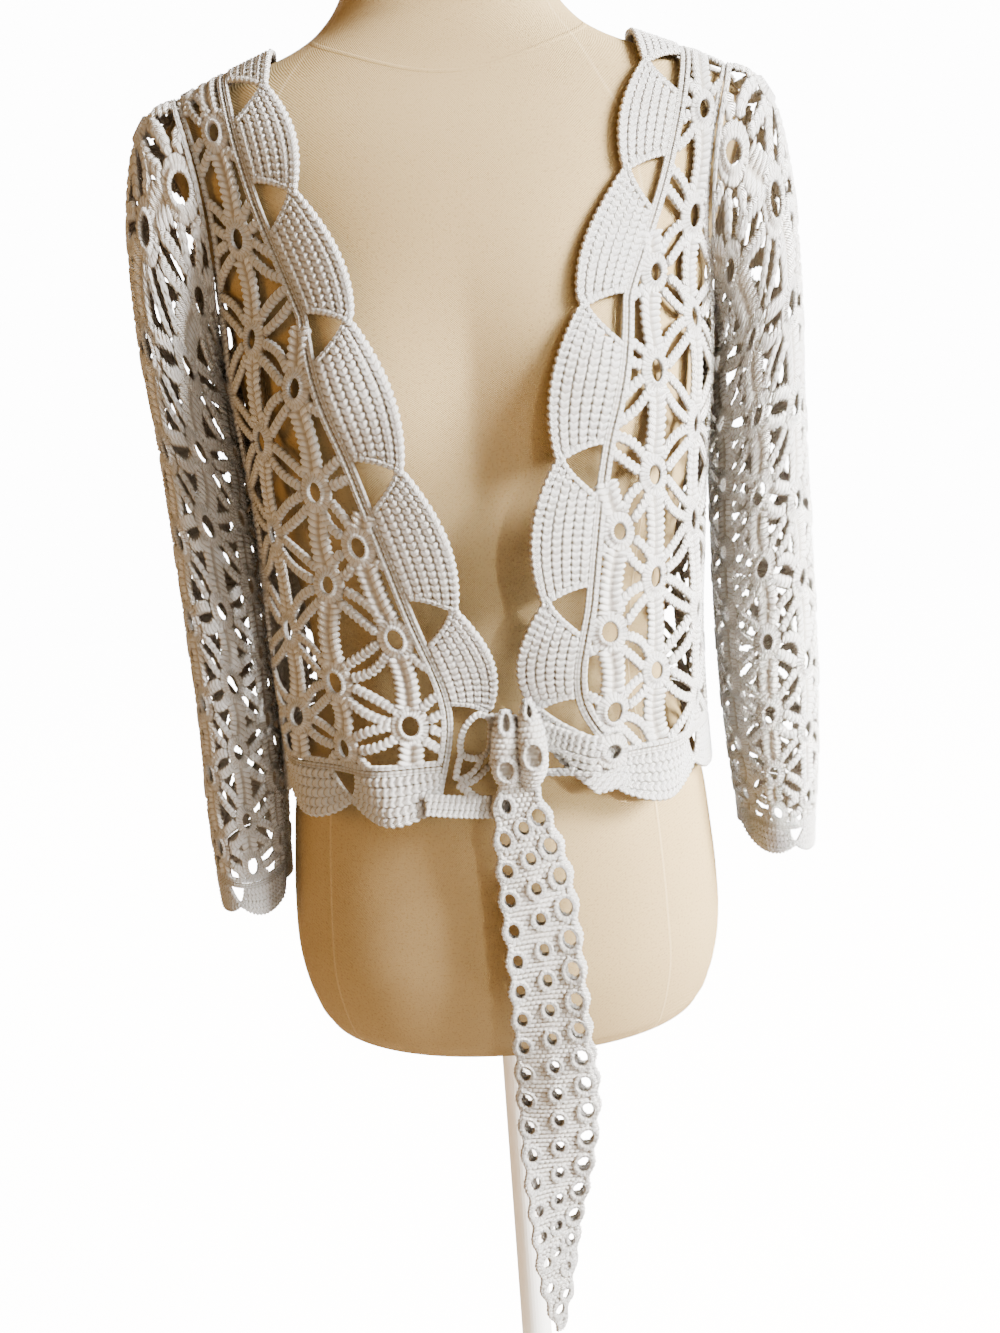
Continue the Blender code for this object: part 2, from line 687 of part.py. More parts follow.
def build_back(material):
    from_centre = BACK_NECK["from_centre"]
    wide = from_centre[-1] + BORDER_WIDTH
    share = np.linspace(-1, 1, 4 * BACK_NECK_SCALLOPS + 1)
    edge, seam = [], []
    for k, f in enumerate(share):
        across = abs(f) * from_centre[-1]
        t = float(eased(from_centre, BACK_NECK["t"], across))
        edge.append((CENTRE_BACK + f * from_centre[-1], t + 0.5 * SCALLOP * float(scallop((k % 4) / 4))))
        down = BORDER_WIDTH * (1 - abs(f) ** 3)
        seam.append((CENTRE_BACK + f * wide, t - down))
    for line in (edge, seam):
        for end in (0, -1):
            line[end] = (line[end][0], float(BACK.top(line[end][0])))
    gaps = []
    for k in (4, 8):
        along = (np.array(edge[k + 1]) - np.array(edge[k - 1])) / 2
        across = np.array(seam[k]) - np.array(edge[k])
        corners = ((0.25, 0.34), (0.25, 0.80), (-0.45, 0.74))
        gaps.append([tuple(np.array(edge[k]) + along * a + across * b) for a, b in corners])
    cloth_wall("neck_border_back", BACK, edge + seam[::-1], gaps, [], [], material)
    arm_left, arm_right = armhole_line(1, True), armhole_line(-1, True)
    outline = stepped([(SIDE_LEFT, HEM_SEAM), (SIDE_RIGHT_BACK, HEM_SEAM)])[:-1]
    outline += stepped([(SIDE_RIGHT_BACK, HEM_SEAM), arm_right[-1]], 24 * MM)[:-1]
    outline += arm_right[::-1][:-1]
    outline += [(s, float(BACK.top(s))) for s, _ in stepped([arm_right[0], seam[-1]])][:-1]
    outline += seam[::-1][:-1]
    outline += [(s, float(BACK.top(s))) for s, _ in stepped([seam[0], arm_left[0]])][:-1]
    outline += arm_left[:-1]
    outline += stepped([arm_left[-1], (SIDE_LEFT, HEM_SEAM)], 24 * MM)[:-1]
    start = np.array((CENTRE_BACK, 0.321))
    holes, rings, raised = openwork(outline, start, (COLUMN_PITCH, RING_PITCH), 0, (GAP,))
    cloth_wall("back", BACK, outline, holes, rings, raised, material)
    build_hem("hem_border_back", BACK, hem_border([SIDE_LEFT, SIDE_RIGHT_BACK]), material)


def sleeve_surface(rows, side):
    """A hanging sleeve, flat by its turn round from the outer line and its length down."""
    s = np.linspace(-SLEEVE_GIRTH / 2, SLEEVE_GIRTH / 2, 97)
    t = np.arange(0.0, rows["t"][-1] + 0.0001, 0.0035)
    turn = (s / SLEEVE_GIRTH * 2 * math.pi)[:, None] + 0 * t
    read = {name: eased(rows["t"], rows[name], t) for name in SLEEVE_COLUMN_NAMES[1:]}
    share = 0.5 + 0.5 * np.cos(turn)
    x = read["inner_x"] + (read["outer_x"] - read["inner_x"]) * share
    z = read["inner_z"] + (read["outer_z"] - read["inner_z"]) * share
    y = read["centre_y"] - read["half_depth"] * np.sin(turn)
    points = np.stack([side * x, y, z], axis=-1)

    # The top ring is the armhole, moved out from the body as the sleeve turns under
    degrees = np.abs(np.degrees(turn[:, 0]))
    fold = np.clip(degrees / 150, 0, 1)
    away = 0.5 * MM + (2 * WALL + 1.2 * MM) * fold**2 * (3 - 2 * fold)
    front_s, front_t = armhole(side, False, degrees)
    back_s, back_t = armhole(side, True, degrees)
    on_front = FRONT.place(front_s + side * SLEEVE_EASE, front_t, away)
    on_back = BACK.place(back_s - side * SLEEVE_EASE, back_t, away)
    ring = np.where(turn[:, :1] > 0, on_front, on_back)
    fade = np.clip(1 - t / SEAM_BLEND, 0, 1)
    fade = fade * fade * (3 - 2 * fade)
    points = points + (ring - points[:, 0])[:, None] * fade[None, :, None]

    # Below the armpit the sleeve keeps clear of the body beside it
    angle = np.arctan2(points[..., 0], -points[..., 1])
    radius = np.hypot(points[..., 0], points[..., 1])
    least = cloth_radius(angle, points[..., 2]) + away[:, None]
    over = least - radius
    push = (over + np.sqrt(over**2 + (1.0 * MM) ** 2)) / 2 * (t > 0)
    points[..., 0] += push * np.sin(angle)
    points[..., 1] -= push * np.cos(angle)
    return Surface(s, t, points, flip=side < 0)


def build_sleeve(side, rows, name, material):
    surface = sleeve_surface(rows, side)
    half = SLEEVE_GIRTH / 2
    pitch = SLEEVE_GIRTH / SLEEVE_COLUMNS
    for half_name, low in (("front", 0.0), ("back", -half)):
        ends = (low, low + half)
        outline = stepped([(ends[0], 0), (ends[1], 0)], 15 * MM)[:-1]
        outline += stepped([(ends[1], 0), (ends[1], SLEEVE_LENGTH)], 24 * MM)[:-1]
        outline += stepped([(ends[1], SLEEVE_LENGTH), (ends[0], SLEEVE_LENGTH)])[:-1]
        outline += stepped([(ends[0], SLEEVE_LENGTH), (ends[0], 0)], 24 * MM)[:-1]
        start = (low + pitch / 2, 0.030)
        shift = 0 if half_name == "front" else 1
        holes, rings, raised = openwork(outline, start, (pitch, RING_PITCH), shift)
        cloth_wall(f"{name}_{half_name}", surface, outline, holes, rings, raised, material)
        wide = half / CUFF_SCALLOPS
        top = [(low + wide * k / 4, SLEEVE_LENGTH) for k in range(4 * CUFF_SCALLOPS + 1)]
        edge = []
        gaps = []
        for k in range(4 * CUFF_SCALLOPS + 1):
            drop = CUFF_DROP + CUFF_SCALLOP * float(scallop((k % 4) / 4))
            edge.append((low + wide * k / 4, SLEEVE_LENGTH + drop))
        for k in range(CUFF_SCALLOPS):
            left = low + wide * k
            near, far = SLEEVE_LENGTH + 4 * MM, SLEEVE_LENGTH + 17 * MM
            gaps.append([(left + 9 * MM, near), (left + 9 * MM, far), (left + 30 * MM, near + 5 * MM)])
        cuff = top + edge[::-1]
        cloth_wall(f"cuff_{name[7:]}_{half_name}", surface, cuff, gaps, [], [], material)


def strip_surface(path, flip=False):
    """A flat strip along a path, as wide as asked: s across it and t along it."""
    path = np.array(path)
    run = np.concatenate([[0], np.cumsum(np.linalg.norm(np.diff(path, axis=0), axis=1))])
    t = np.linspace(0, run[-1], 61)
    middle = np.stack([eased(run, path[:, k], t) for k in range(3)], axis=-1)
    along = np.gradient(middle, axis=0)
    along /= np.linalg.norm(along, axis=1, keepdims=True)
    across = np.cross(along, (0.0, -1.0, 0.0))
    across /= np.linalg.norm(across, axis=1, keepdims=True)
    s = np.linspace(-0.03, 0.03, 13)
    points = middle[None] + across[None] * s[:, None, None]
    return Surface(s, t, points, flip), run[-1]


def eyelet(s, t):
    return [
        (s + EYELET[0] * math.cos(a), t + EYELET[1] * math.sin(a))
        for a in np.linspace(0, 2 * math.pi, 7)[:-1]
    ]


def build_tail(name, y, top, shift, material):
    z = TAIL["z"].copy()
    z[0] = top
    lower = (z[0] - z) / (z[0] - z[-1])
    x = TAIL["x"] + shift[0] * lower**2
    z = z + shift[1] * lower
    path = [(a, y, b) for a, b in zip(x, z)]
    surface, length = strip_surface(path)
    flip = surface.normals[6, 30, 1] > 0
    if flip:
        surface.normals *= -1
    run = np.concatenate([[0], np.cumsum(np.linalg.norm(np.diff(np.array(path), axis=0), axis=1))])
    t = np.linspace(0, length, 26)
    half = eased(run, TAIL["half_width"], t)
    outline = list(zip((-half).tolist(), t.tolist())) + list(zip(half.tolist(), t.tolist()))[::-1]
    holes = []
    for k in range(17):
        at = 0.030 + EYELET_PITCH * k
        if np.interp(at, t, half) > 0.0125 and at < length - 0.03:
            holes.append(eyelet(0.0, at))
    cloth_wall(name, surface, outline, holes, [], [], material, TIE_WALL)


def build_bands(material):
    """The bands lie on the front borders, whose flat places they share."""
    for side, (corners, hole) in BANDS.items():
        outline = stepped(list(corners) + [corners[0]], 12 * MM)[:-1]
        name = f"tie_band_{side}"
        cloth_wall(name, FRONT, outline, [eyelet(*hole)], [], [], material, TIE_WALL, BAND_BASE)


def build_knot(material):
    bpy.ops.mesh.primitive_uv_sphere_add(segments=20, ring_count=12, location=KNOT_PLACE)
    knot = bpy.context.object
    knot.name = "tie_knot"
    knot.data.name = "tie_knot"
    knot.scale = KNOT_HALF
    knot.rotation_euler.y = math.radians(6)
    knot.data.shade_smooth()
    adopt(knot, material)


def adopt(obj, material):
    obj.data.materials.append(material)
    for collection in list(obj.users_collection):
        collection.objects.unlink(obj)
    COLLECTION.objects.link(obj)


def build_form(material):
    """The limbless form, closed at its foot and at the top of its neck."""
    angle = np.linspace(0, 2 * math.pi, 45)[:-1]
    heights = FORM["height"]
    rings = [around(form_radius(angle, z), angle, z) for z in heights]
    count = len(angle)
    vertices = np.concatenate(rings)
    faces = []
    for r in range(len(heights) - 1):
        for k in range(count):
            a, b = r * count + k, r * count + (k + 1) % count
            faces.append((a, b, b + count, a + count))
    faces.append(tuple(range(count))[::-1])
    faces.append(tuple(range(len(vertices) - count, len(vertices))))
    form = add_object("dress_form", vertices, faces, material, smooth=True)
    clean(form)


def build_stand(cap_material, metal):
    bpy.ops.mesh.primitive_cylinder_add(
        vertices=48,
        radius=1.0,
        depth=CAP_HEIGHT,
        location=(0, -0.0035, NECK_TOP + REST_GAP + CAP_HEIGHT / 2),
    )
    cap = bpy.context.object
    cap.name = "neck_cap"
    cap.data.name = "neck_cap"
    cap.scale = (0.0570, 0.0540, 1)
    adopt(cap, cap_material)
    low, high = BASE_THICK + REST_GAP, FORM["height"][0] - REST_GAP
    bpy.ops.mesh.primitive_cylinder_add(
        vertices=32, radius=POLE_RADIUS, depth=high - low, location=(0, 0, (low + high) / 2)
    )
    pole = bpy.context.object
    pole.name = "stand_pole"
    pole.data.name = "stand_pole"
    pole.data.shade_smooth()
    adopt(pole, metal)
    bpy.ops.mesh.primitive_cylinder_add(
        vertices=64, radius=BASE_RADIUS, depth=BASE_THICK, location=(0, 0, BASE_THICK / 2)
    )
    base = bpy.context.object
    base.name = "stand_base"
    base.data.name = "stand_base"
    bevel = base.modifiers.new("edge", "BEVEL")
    bevel.width = 3 * MM
    bevel.segments = 2
    adopt(base, metal)


def make_material(name, colour, roughness, metallic=0.0):
    material = bpy.data.materials.new(name)
    material.use_nodes = True
    shader = material.node_tree.nodes["Principled BSDF"]
    shader.inputs["Base Color"].default_value = (*colour, 1.0)
    shader.inputs["Roughness"].default_value = roughness
    shader.inputs["Metallic"].default_value = metallic
    material.diffuse_color = (*colour, 1.0)
    return material


COLLECTION = bpy.data.collections.new("crochet_cardigan")
bpy.context.scene.collection.children.link(COLLECTION)
FRONT = body_surface(back=False)
BACK = body_surface(back=True)

COTTON = make_material("cotton_crochet", (0.86, 0.84, 0.79), 0.85)
JERSEY = make_material("form_jersey", (0.80, 0.74, 0.63), 0.80)
METAL = make_material("painted_metal", (0.82, 0.80, 0.76), 0.45)

build_front(-1, "front_right", COTTON)
build_front(1, "front_left", COTTON)
build_back(COTTON)
build_sleeve(-1, RIGHT_SLEEVE, "sleeve_right", COTTON)
build_sleeve(1, LEFT_SLEEVE, "sleeve_left", COTTON)
build_bands(COTTON)
build_knot(COTTON)
build_tail("tie_tail_front", material=COTTON, **FRONT_TAIL)
build_tail("tie_tail_back", material=COTTON, **BACK_TAIL)
build_form(JERSEY)
build_stand(JERSEY, METAL)
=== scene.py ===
import math

import bpy
import numpy as np
from mathutils import Matrix, Vector


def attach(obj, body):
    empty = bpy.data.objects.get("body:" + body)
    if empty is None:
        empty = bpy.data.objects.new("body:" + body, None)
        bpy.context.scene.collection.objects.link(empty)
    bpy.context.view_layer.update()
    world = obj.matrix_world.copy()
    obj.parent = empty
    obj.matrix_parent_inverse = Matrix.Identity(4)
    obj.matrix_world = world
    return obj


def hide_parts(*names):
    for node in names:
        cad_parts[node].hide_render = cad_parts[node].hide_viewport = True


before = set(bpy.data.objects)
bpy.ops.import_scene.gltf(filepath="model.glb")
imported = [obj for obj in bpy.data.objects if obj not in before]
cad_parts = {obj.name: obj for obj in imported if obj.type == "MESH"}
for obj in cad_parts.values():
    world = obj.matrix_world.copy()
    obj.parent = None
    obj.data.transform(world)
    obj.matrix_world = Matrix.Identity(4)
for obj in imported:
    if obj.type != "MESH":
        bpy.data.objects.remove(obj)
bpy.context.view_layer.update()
MM = 0.001

# The camera is at chest height, 0.69 m in front of the form's axis, and looks a little down.
# It is rolled by a few degrees, as in the photograph.
camera_place = Vector((0.006, -0.691, 0.930))
look_down = math.radians(14.0)
turned = math.radians(3.8)
level = Vector((1.0, 0.0, 0.0))
upright = Vector((0.0, math.sin(look_down), math.cos(look_down)))
ahead = Vector((0.0, math.cos(look_down), -math.sin(look_down)))
camera_x = level * math.cos(turned) - upright * math.sin(turned)
camera_y = level * math.sin(turned) + upright * math.cos(turned)
camera_axes = Matrix((camera_x, camera_y, -ahead)).transposed().to_4x4()
bpy.ops.object.camera_add()
camera = bpy.context.object
camera.name = "camera"
camera.matrix_world = Matrix.Translation(camera_place) @ camera_axes
camera.data.lens = 27.03
camera.data.sensor_width = 36.0
camera.data.clip_start = 0.02
bpy.context.scene.camera = camera


# The dress form is a padded torso without limbs, covered in cream cotton jersey.
# Its cover is cut in panels, whose seams run down the front, sides and back, and round the neck.
SQUARENESS = 2.25


def table(columns, rows):
    """A table as one array for each named column."""
    return {name: np.array([row[i] for row in rows], float) for i, name in enumerate(columns)}


FORM = table(
    ("height", "half_width", "front", "back"),
    (
        (0.503, 0.126, 0.080, 0.085),
        (0.505, 0.136, 0.088, 0.094),
        (0.512, 0.144, 0.095, 0.102),
        (0.526, 0.150, 0.100, 0.107),
        (0.545, 0.1545, 0.1035, 0.111),
        (0.565, 0.1565, 0.106, 0.113),
        (0.600, 0.1555, 0.105, 0.114),
        (0.640, 0.1515, 0.103, 0.111),
        (0.680, 0.146, 0.100, 0.104),
        (0.715, 0.136, 0.096, 0.094),
        (0.745, 0.126, 0.092, 0.086),
        (0.770, 0.122, 0.090, 0.082),
        (0.800, 0.123, 0.092, 0.084),
        (0.835, 0.128, 0.096, 0.090),
        (0.875, 0.136, 0.100, 0.098),
        (0.915, 0.144, 0.103, 0.104),
        (0.955, 0.149, 0.105, 0.108),
        (0.990, 0.151, 0.105, 0.110),
        (1.020, 0.155, 0.102, 0.110),
        (1.050, 0.164, 0.096, 0.107),
        (1.075, 0.173, 0.088, 0.102),
        (1.095, 0.1795, 0.079, 0.095),
        (1.110, 0.180, 0.071, 0.087),
        (1.120, 0.169, 0.067, 0.081),
        (1.128, 0.150, 0.0645, 0.076),
        (1.136, 0.127, 0.063, 0.072),
        (1.143, 0.106, 0.062, 0.068),
        (1.151, 0.089, 0.061, 0.064),
        (1.160, 0.077, 0.061, 0.060),
        (1.172, 0.067, 0.060, 0.056),
        (1.186, 0.061, 0.059, 0.054),
        (1.205, 0.0585, 0.0585, 0.052),
        (1.230, 0.0575, 0.058, 0.051),
        (1.245, 0.0575, 0.058, 0.051),
    ),
)
BUST_ANGLE = math.radians(34)
BUST_SPREAD = math.radians(23)
BUST_HEIGHT = 0.935
BUST_REACH = 0.058
BUST_DEPTH = 0.020


def eased(knots, values, at):
    """Reads a table between its rows along a smooth curve."""
    slopes = np.gradient(values, knots)
    i = np.clip(np.searchsorted(knots, at) - 1, 0, len(knots) - 2)
    step = knots[i + 1] - knots[i]
    f = np.clip((at - knots[i]) / step, 0.0, 1.0)
    rise = values[i] * (1 + 2 * f) * (1 - f) ** 2 + values[i + 1] * f * f * (3 - 2 * f)
    return rise + step * (slopes[i] * f * (1 - f) ** 2 - slopes[i + 1] * f * f * (1 - f))


def section_radius(angle, half_width, depth):
    """Distance from the axis to an oval with flattened sides. Angle 0 is the centre front."""
    across = np.abs(np.sin(angle)) / half_width
    along = np.abs(np.cos(angle)) / depth
    return (across**SQUARENESS + along**SQUARENESS) ** (-1 / SQUARENESS)


def section_depth(sections, angle, height):
    front = eased(sections["height"], sections["front"], height)
    back = eased(sections["height"], sections["back"], height)
    return np.where(np.cos(angle) > 0, front, back)


def wrapped(angle):
    return (angle + math.pi) % (2 * math.pi) - math.pi


def form_radius(angle, height):
    half_width = eased(FORM["height"], FORM["half_width"], height)
    plain = section_radius(angle, half_width, section_depth(FORM, angle, height))
    across = (np.abs(wrapped(angle)) - BUST_ANGLE) / BUST_SPREAD
    up = (height - BUST_HEIGHT) / BUST_REACH
    return plain + BUST_DEPTH * np.exp(-(across**2) - up**2)


def around(radius, angle, height):
    height = height + 0 * radius
    return np.stack([radius * np.sin(angle), -radius * np.cos(angle), height], axis=-1)


def add_piece(name, vertices, faces, places, material, raised=None):
    """Makes a mesh object from arrays. places holds each point's flat place for its UV map."""
    sizes = np.array([len(f) for f in faces], np.int32)
    loops = np.concatenate([np.asarray(f, np.int32) for f in faces])
    mesh = bpy.data.meshes.new(name)
    mesh.vertices.add(len(vertices))
    mesh.vertices.foreach_set("co", np.asarray(vertices, np.float32).ravel())
    mesh.loops.add(len(loops))
    mesh.loops.foreach_set("vertex_index", loops)
    mesh.polygons.add(len(sizes))
    mesh.polygons.foreach_set("loop_start", np.concatenate([[0], np.cumsum(sizes)[:-1]]))
    mesh.update(calc_edges=True)
    layer = mesh.uv_layers.new(name="flat")
    layer.data.foreach_set("uv", np.asarray(places, np.float32)[loops].ravel())
    # raised is each point's raised share, by which the cotton paints shade into low places.
    if raised is not None:
        shares = mesh.attributes.new("raised", "FLOAT", "POINT")
        shares.data.foreach_set("value", np.asarray(raised, np.float32))
    mesh.validate()
    mesh.shade_smooth()
    mesh.materials.append(material)
    piece = bpy.data.objects.new(name, mesh)
    bpy.context.scene.collection.objects.link(piece)
    return piece


def new_material(name, colour, roughness):
    """A material, with its node tree and its shader."""
    material = bpy.data.materials.new(name)
    material.use_nodes = True
    tree = material.node_tree
    shader = tree.nodes["Principled BSDF"]
    shader.inputs["Base Color"].default_value = (*colour, 1.0)
    shader.inputs["Roughness"].default_value = roughness
    return material, tree, shader


def give_material(cad_name, material):
    """Colours a CAD solid that is shown as it is."""
    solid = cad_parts[cad_name]
    if len(solid.material_slots):
        solid.material_slots[0].material = material
    else:
        solid.data.materials.append(material)


def node(tree, kind, **settings):
    made = tree.nodes.new(kind)
    for name, value in settings.items():
        setattr(made, name, value)
    return made


def plugged(tree, socket, value):
    """Feeds a socket from another socket, or sets it to a number or colour."""
    if hasattr(value, "is_output"):
        tree.links.new(value, socket)
    else:
        socket.default_value = value


def maths(tree, operation, one, two=0.0, three=0.0):
    made = node(tree, "ShaderNodeMath", operation=operation)
    for socket, value in zip(made.inputs, (one, two, three)):
        plugged(tree, socket, value)
    return made.outputs[0]


def mixed_colour(tree, share, one, two):
    made = node(tree, "ShaderNodeMix", data_type="RGBA")
    plugged(tree, made.inputs["Factor"], share)
    plugged(tree, made.inputs["A"], one)
    plugged(tree, made.inputs["B"], two)
    return made.outputs["Result"]


def noise(tree, places, scale, detail=3.0):
    made = node(tree, "ShaderNodeTexNoise")
    made.inputs["Scale"].default_value = scale
    made.inputs["Detail"].default_value = detail
    tree.links.new(places, made.inputs["Vector"])
    return made.outputs["Fac"]


def bumped(tree, height, distance, strength, onto=None):
    made = node(tree, "ShaderNodeBump")
    made.inputs["Distance"].default_value = distance
    made.inputs["Strength"].default_value = strength
    tree.links.new(height, made.inputs["Height"])
    if onto is not None:
        tree.links.new(onto, made.inputs["Normal"])
    return made.outputs["Normal"]


def ranged(tree, value, low, high, out_low=0.0, out_high=1.0):
    made = node(tree, "ShaderNodeMapRange", interpolation_type="SMOOTHSTEP")
    plugged(tree, made.inputs["Value"], value)
    made.inputs["From Min"].default_value = low
    made.inputs["From Max"].default_value = high
    made.inputs["To Min"].default_value = out_low
    made.inputs["To Max"].default_value = out_high
    return made.outputs["Result"]


def seam_group():
    """One sewn seam: a fine groove straight up the flat cover."""
    group = bpy.data.node_groups.new("cover_seam", "ShaderNodeTree")
    for name, kind in (
        ("Place", "NodeSocketVector"),
        ("Start", "NodeSocketFloat"),
        ("Width", "NodeSocketFloat"),
    ):
        group.interface.new_socket(name, in_out="INPUT", socket_type=kind)
    group.interface.new_socket("Groove", in_out="OUTPUT", socket_type="NodeSocketFloat")
    enter = node(group, "NodeGroupInput")
    leave = node(group, "NodeGroupOutput")
    split = node(group, "ShaderNodeSeparateXYZ")
    group.links.new(enter.outputs["Place"], split.inputs[0])
    off = maths(group, "SUBTRACT", split.outputs["X"], enter.outputs["Start"])
    off = maths(group, "ABSOLUTE", off)
    share = maths(group, "DIVIDE", off, enter.outputs["Width"])
    groove = ranged(group, share, 0.0, 1.0, 1.0, 0.0)
    group.links.new(groove, leave.inputs["Groove"])
    return group


# Flat cover: u runs round the form from the centre front on a mean radius, v is the height
COVER_RADIUS = 0.120
form_angle = np.linspace(-math.pi, math.pi, 145)
form_height = np.concatenate([
    np.linspace(0.503, 0.530, 13)[:-1],
    np.linspace(0.530, 1.080, 92)[:-1],
    np.linspace(1.080, 1.245, 61),
])
form_rings = np.stack([around(form_radius(form_angle, z), form_angle, z) for z in form_height])
form_flat = np.stack(np.broadcast_arrays(COVER_RADIUS * form_angle, form_height[:, None]), axis=-1)
count = len(form_angle)
form_faces = []
for r in range(len(form_height) - 1):
    for k in range(count - 1):
        a = r * count + k
        form_faces.append((a, a + 1, a + 1 + count, a + count))
form_faces.append(tuple(range(count - 1))[::-1])
form_faces.append(tuple(range(len(form_height) * count - count, len(form_height) * count - 1)))

jersey, tree, shader = new_material("cream_jersey", (0.80, 0.69, 0.53), 0.88)
flat = node(tree, "ShaderNodeUVMap", uv_map="flat").outputs["UV"]
split = node(tree, "ShaderNodeSeparateXYZ")
tree.links.new(flat, split.inputs[0])
objects = node(tree, "ShaderNodeTexCoord").outputs["Object"]
COURSE = 1.15 * MM
wobble = noise(tree, flat, 260.0, 2.0)
rows = maths(tree, "MULTIPLY", split.outputs["Y"], 2 * math.pi / COURSE)
rows = maths(tree, "ADD", rows, maths(tree, "MULTIPLY", wobble, 5.0))
columns = maths(tree, "MULTIPLY", split.outputs["X"], 2 * math.pi / (1.3 * COURSE))
knit = maths(tree, "MULTIPLY", maths(tree, "SINE", rows), maths(tree, "SINE", columns))
cloudy = noise(tree, objects, 9.0, 3.0)
fleck = noise(tree, flat, 700.0, 2.0)
shade = mixed_colour(tree, cloudy, (0.335, 0.238, 0.108, 1), (0.30, 0.208, 0.092, 1))
shade = mixed_colour(tree, ranged(tree, fleck, 0.52, 0.70, 0.0, 0.55), shade, (0.18, 0.115, 0.05, 1))
seam_kind = seam_group()
seams = None
for start in (-0.122, 0.1105, 0.2, -0.2, -0.3055, 0.3055, 0.376):
    seam = node(tree, "ShaderNodeGroup", node_tree=seam_kind)
    tree.links.new(flat, seam.inputs["Place"])
    seam.inputs["Start"].default_value = start
    seam.inputs["Width"].default_value = 1.3 * MM
    seams = seam.outputs[0] if seams is None else maths(tree, "MAXIMUM", seams, seam.outputs[0])
shade = mixed_colour(tree, maths(tree, "MULTIPLY", seams, 0.35), shade, (0.52, 0.39, 0.22, 1))
tree.links.new(shade, shader.inputs["Base Color"])
seams = maths(tree, "MULTIPLY", seams, ranged(tree, split.outputs["Y"], 1.04, 1.05, 1.0, 0.0))
around_neck = maths(tree, "SINE", maths(tree, "DIVIDE", split.outputs["X"], 2 * COVER_RADIUS))
rise = maths(tree, "MULTIPLY", maths(tree, "POWER", maths(tree, "ABSOLUTE", around_neck), 2.0), 0.1)
neck_seam = maths(tree, "ADD", maths(tree, "MINIMUM", rise, 0.051), 1.119)
off_seam = maths(tree, "ABSOLUTE", maths(tree, "SUBTRACT", split.outputs["Y"], neck_seam))
on_seam = ranged(tree, off_seam, 0.4 * MM, 1.3 * MM, 1.0, 0.0)
surface = maths(tree, "MULTIPLY_ADD", maths(tree, "MAXIMUM", seams, on_seam), 3.0, knit)
surface = maths(tree, "MULTIPLY_ADD", fleck, 0.8, surface)
tree.links.new(bumped(tree, surface, 0.25 * MM, 0.7), shader.inputs["Normal"])
shader.inputs["Specular IOR Level"].default_value = 0.2

dress_form = add_piece(
    "jersey_dress_form", form_rings.reshape(-1, 3), form_faces, form_flat.reshape(-1, 2), jersey
)
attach(dress_form, "root")
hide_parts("dress_form")
give_material("neck_cap", jersey)


# The stand is a round foot and a straight pole that enters the form from below.
# Both keep their CAD shapes, in off-white paint whose tone and gloss vary a little.
paint, tree, shader = new_material("off_white_paint", (0.86, 0.85, 0.82), 0.42)
objects = node(tree, "ShaderNodeTexCoord").outputs["Object"]
cloudy = noise(tree, objects, 35.0, 4.0)
orange_peel = noise(tree, objects, 900.0, 2.0)
tree.links.new(
    mixed_colour(tree, cloudy, (0.88, 0.87, 0.84, 1), (0.82, 0.81, 0.77, 1)), shader.inputs["Base Color"]
)
tree.links.new(ranged(tree, cloudy, 0.3, 0.7, 0.36, 0.50), shader.inputs["Roughness"])
tree.links.new(bumped(tree, orange_peel, 0.05 * MM, 0.4), shader.inputs["Normal"])
give_material("stand_pole", paint)
give_material("stand_base", paint)


# The right front panel is crocheted in mercerised white cotton: columns of rings, joined by wide
# ribbed bars up each column and by pairs of narrow cords to the rings of the next columns.
# It is worked flat to shape and hangs from the shoulder, so it is laid out flat and then hung.
HEM_HEIGHT = 0.715
HEM_SEAM = 10 * MM
ARMPIT_HEIGHT = 0.990
REFERENCE_HEIGHT = 0.850
SHOULDER_SPREAD = 0.12
FLAT_LOW = -0.050
FLAT_HIGH = 0.520
CLEAR = 2.8 * MM
CLEAR_ABOVE = 3.0 * MM
KNOT_PLACE = (0.0110, -0.1158, 0.738)
CLOTH = table(
    ("height", "half_width", "front", "back"),
    (
        (0.660, 0.149, 0.117, 0.121),
        (0.715, 0.147, 0.117, 0.114),
        (0.765, 0.145, 0.119, 0.110),
        (0.815, 0.1445, 0.123, 0.108),
        (0.865, 0.146, 0.126, 0.110),
        (0.915, 0.149, 0.126, 0.112),
        (0.965, 0.152, 0.118, 0.113),
        (1.000, 0.150, 0.102, 0.108),
        (1.040, 0.130, 0.080, 0.090),
    ),
)
CLOTH_TOP = 1.050
CLOTH_BLEND = 0.080
SOFT_JOIN = 0.005
KNOT_PULL = 0.014
KNOT_REACH = 0.060
KNOT_ANGLE = math.radians(20)
FOLDS = table(
    ("angle", "depth", "width", "lean"),
    (
        (-148, 0.0045, 13, 0),
        (-112, 0.0035, 12, 0),
        (-62, 0.0060, 9, 26),
        (-36, 0.0060, 8, 20),
        (30, 0.0060, 8, -18),
        (52, 0.0065, 9, -24),
        (108, 0.0035, 12, 0),
        (140, 0.0050, 13, 0),
        (176, 0.0045, 14, 0),
    ),
)
FOLD_TOP = 0.900
FOLD_FULL = 0.740


def fold_relief(angle, height):
    """Folds that grow from the bust to the hem, those in front leaning to the knot."""
    down = np.clip((FOLD_TOP - height) / (FOLD_TOP - FOLD_FULL), 0.0, 1.3)
    relief = 0.0
    for degrees, depth, width, lean in zip(*FOLDS.values()):
        middle = math.radians(degrees) + math.radians(lean) * (down - 1)
        across = wrapped(angle - middle) / math.radians(width)
        relief = relief + depth * down * np.exp(-(across**2))
    return relief


